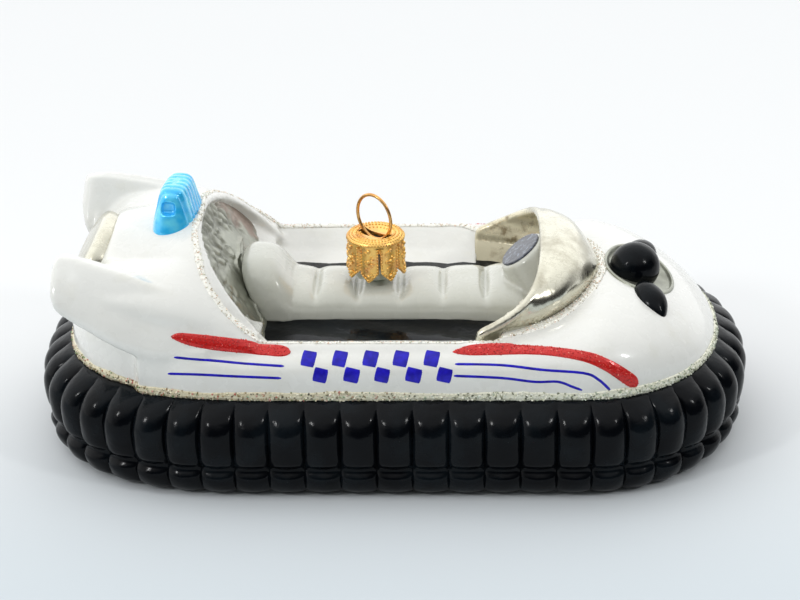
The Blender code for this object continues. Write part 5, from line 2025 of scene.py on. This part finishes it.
# x, y, z, half width, on the starboard side
HOOP_LINE = (
    (-34.0, -1.5, 39.6, 0.6), (-34.4, -6.3, 39.3, 0.6), (-34.0, -9.9, 38.6, 0.6),
    (-32.9, -14.9, 36.8, 0.6), (-31.6, -18.7, 34.2, 0.6), (-29.4, -21.4, 31.3, 0.6),
    (-26.6, -23.0, 28.8, 0.6), (-23.4, -23.7, 26.8, 0.6), (-19.5, -24.0, 25.9, 0.6),
)
SILL_LINE = tuple((x, -24.1, 25.9, 0.45) for x in (-14.0, -7.0, 0.0, 7.0, 12.0))
BOW_POINT = (37.3, 0.0, 29.7, 0.75)
# the windscreen's foot as an oval: its aft end's x, its reach forward, its half width, its height and rise
FOOT_OVAL = (13.7, 23.5, 22.3, 24.9, 4.8)
FOOT_TURNS = ((8, 0.6), (20, 0.8), (33, 0.95), (47, 0.95), (62, 0.95), (77, 0.95))


def wavy(path, share, seed):
    """Let a path's half width wander, as glitter does that was strewn on wet glue."""
    draws = np.random.default_rng(seed).normal(size=len(path) + 2 * WANDER)
    noise = np.convolve(draws, np.ones(WANDER) / WANDER, "same")[WANDER:-WANDER]
    path[:, 3] *= 1.0 + share * noise / noise.std()
    return path


def seam_path():
    half_width = HALF_BEAM - SEAM_BAND_INSET
    points = [(x - along * SEAM_BAND_INSET, across * half_width, SEAM_BAND_Z, SEAM_BAND_HALF)
              for x, across, along in whole_outline()[::12]]
    return wavy(even_path(points, SEAM_BAND_STEP, ring=True), share=0.13, seed=3)


def cockpit_path():
    """Round the cockpit: over the hoop from port to starboard, along the sill, round the cowl and back."""
    aft_x, reach, half_width, foot_z, rise = FOOT_OVAL
    half = list(HOOP_LINE + SILL_LINE)
    for degrees, width in FOOT_TURNS:
        turn = math.radians(degrees)
        half.append((aft_x + reach * math.sin(turn), -half_width * math.cos(turn),
                     foot_z + rise * math.sin(turn), width))
    whole = half + [BOW_POINT] + mirrored(reversed(half))
    return wavy(even_path(whole, COCKPIT_LINE_STEP, ring=True), share=0.12, seed=4)


brushed("seam_glitter", [(seam_path(), True)], "seam", lift=0.45, sink=0.5, grain=0.24, density=4.6, seed=11)
brushed("cockpit_glitter", [(cockpit_path(), True)], "line_glitter", lift=0.28, grain=0.19, density=5.2,
        seed=12)

# %% [markdown]
# One solid of the part keeps its own mesh: the glass neck. It is hidden until the cap is pulled up, and
# is a plain short tube, so it only needs a finish.

# %% Neck
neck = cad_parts["cap_neck"]
neck.data.materials.clear()
neck.data.materials.append(finishes["glass"])
print("carried:", neck.name)

# %% [markdown]
# The ornament stands on a plain paper table. Its colour is made a little bluer and darker towards the
# camera, as painted shade.

# %% Table
TABLE_HALF = 2.2
SHADED_PAPER_NEAR = (0.56, 0.615, 0.65)
PAPER_FAR = (0.775, 0.785, 0.79)
PAPER_FLECK = (0.80, 0.82, 0.83)


def make_table():
    mesh = bpy.data.meshes.new("table")
    mesh.from_pydata([(-TABLE_HALF, -TABLE_HALF, 0.0), (TABLE_HALF, -TABLE_HALF, 0.0),
                      (TABLE_HALF, TABLE_HALF, 0.0), (-TABLE_HALF, TABLE_HALF, 0.0)], [], [(0, 1, 2, 3)])
    table = put("table", mesh)
    f = Finish("table_paper", Roughness=0.75, Specular_IOR_Level=0.2)
    # painted shade: the paper darker and bluer towards the camera
    paper = f.mix("RGBA", f.step(f.along(1), -80.0, 40.0), SHADED_PAPER_NEAR, PAPER_FAR)
    f.set("Base_Color", f.mix("RGBA", f.noise(90.0) * 0.1, paper, PAPER_FLECK))
    table.data.materials.append(f.material)


make_table()
print("table:", 2.0 * TABLE_HALF, "m wide")

# %% [markdown]
# Gloss shows the room, so the room matters as much as the lamps. It is bright behind and overhead and
# dim behind the camera, so the near sides fall into shade and the shadow comes towards the camera. The
# world's light is therefore a function of the direction it comes from. Two small windows beside the
# camera leave the spots on the black pillows.

# %% Light
ROOM_COLOUR = (0.985, 0.995, 1.0, 1.0)
BACK = 1.50
FRONT_HIGH = 1.0
FRONT_LOW = 0.04
FROM_BACK = 0.85
FROM_STERN = 0.5
# where the front wall goes over into the ceiling, and the dim part of the room into the bright one
CEILING = (0.35, 0.8)
BACK_EDGE = (-0.60, 0.50)
WINDOW_AIM = Vector((0.0, 0.0, 0.02))
# name, place, size, watts
WINDOWS = (
    ("window_left", (-0.45, -0.40, 0.42), (0.06, 0.10), 0.9),
    ("window_right", (0.50, -0.30, 0.45), (0.05, 0.10), 0.7),
)


def light_room():
    world = bpy.data.worlds.new("room")
    bpy.context.scene.world = world
    world.use_nodes = True
    room = Tree(world.node_tree)
    towards_bow, towards_back, upward = room.split(room.node("ShaderNodeTexCoord", out="Generated"))
    front = room.mix("FLOAT", room.step(upward, *CEILING), FRONT_LOW, FRONT_HIGH)
    towards_light = towards_back * FROM_BACK - towards_bow * FROM_STERN
    background = room.tree.nodes["Background"]
    background.inputs["Color"].default_value = ROOM_COLOUR
    room.feed(background.inputs["Strength"],
              room.mix("FLOAT", room.step(towards_light, *BACK_EDGE), front, BACK))


def make_window(name, place, size, watts):
    data = bpy.data.lights.new(name, "AREA")
    data.shape = "RECTANGLE"
    data.size, data.size_y = size
    data.energy = watts
    light = put(name, data)
    light.location = place
    light.rotation_euler = (WINDOW_AIM - Vector(place)).to_track_quat("-Z", "Y").to_euler()


light_room()
for window in WINDOWS:
    make_window(*window)
bpy.context.scene.view_settings.view_transform = "Standard"
print("lights:", len(bpy.data.lights))
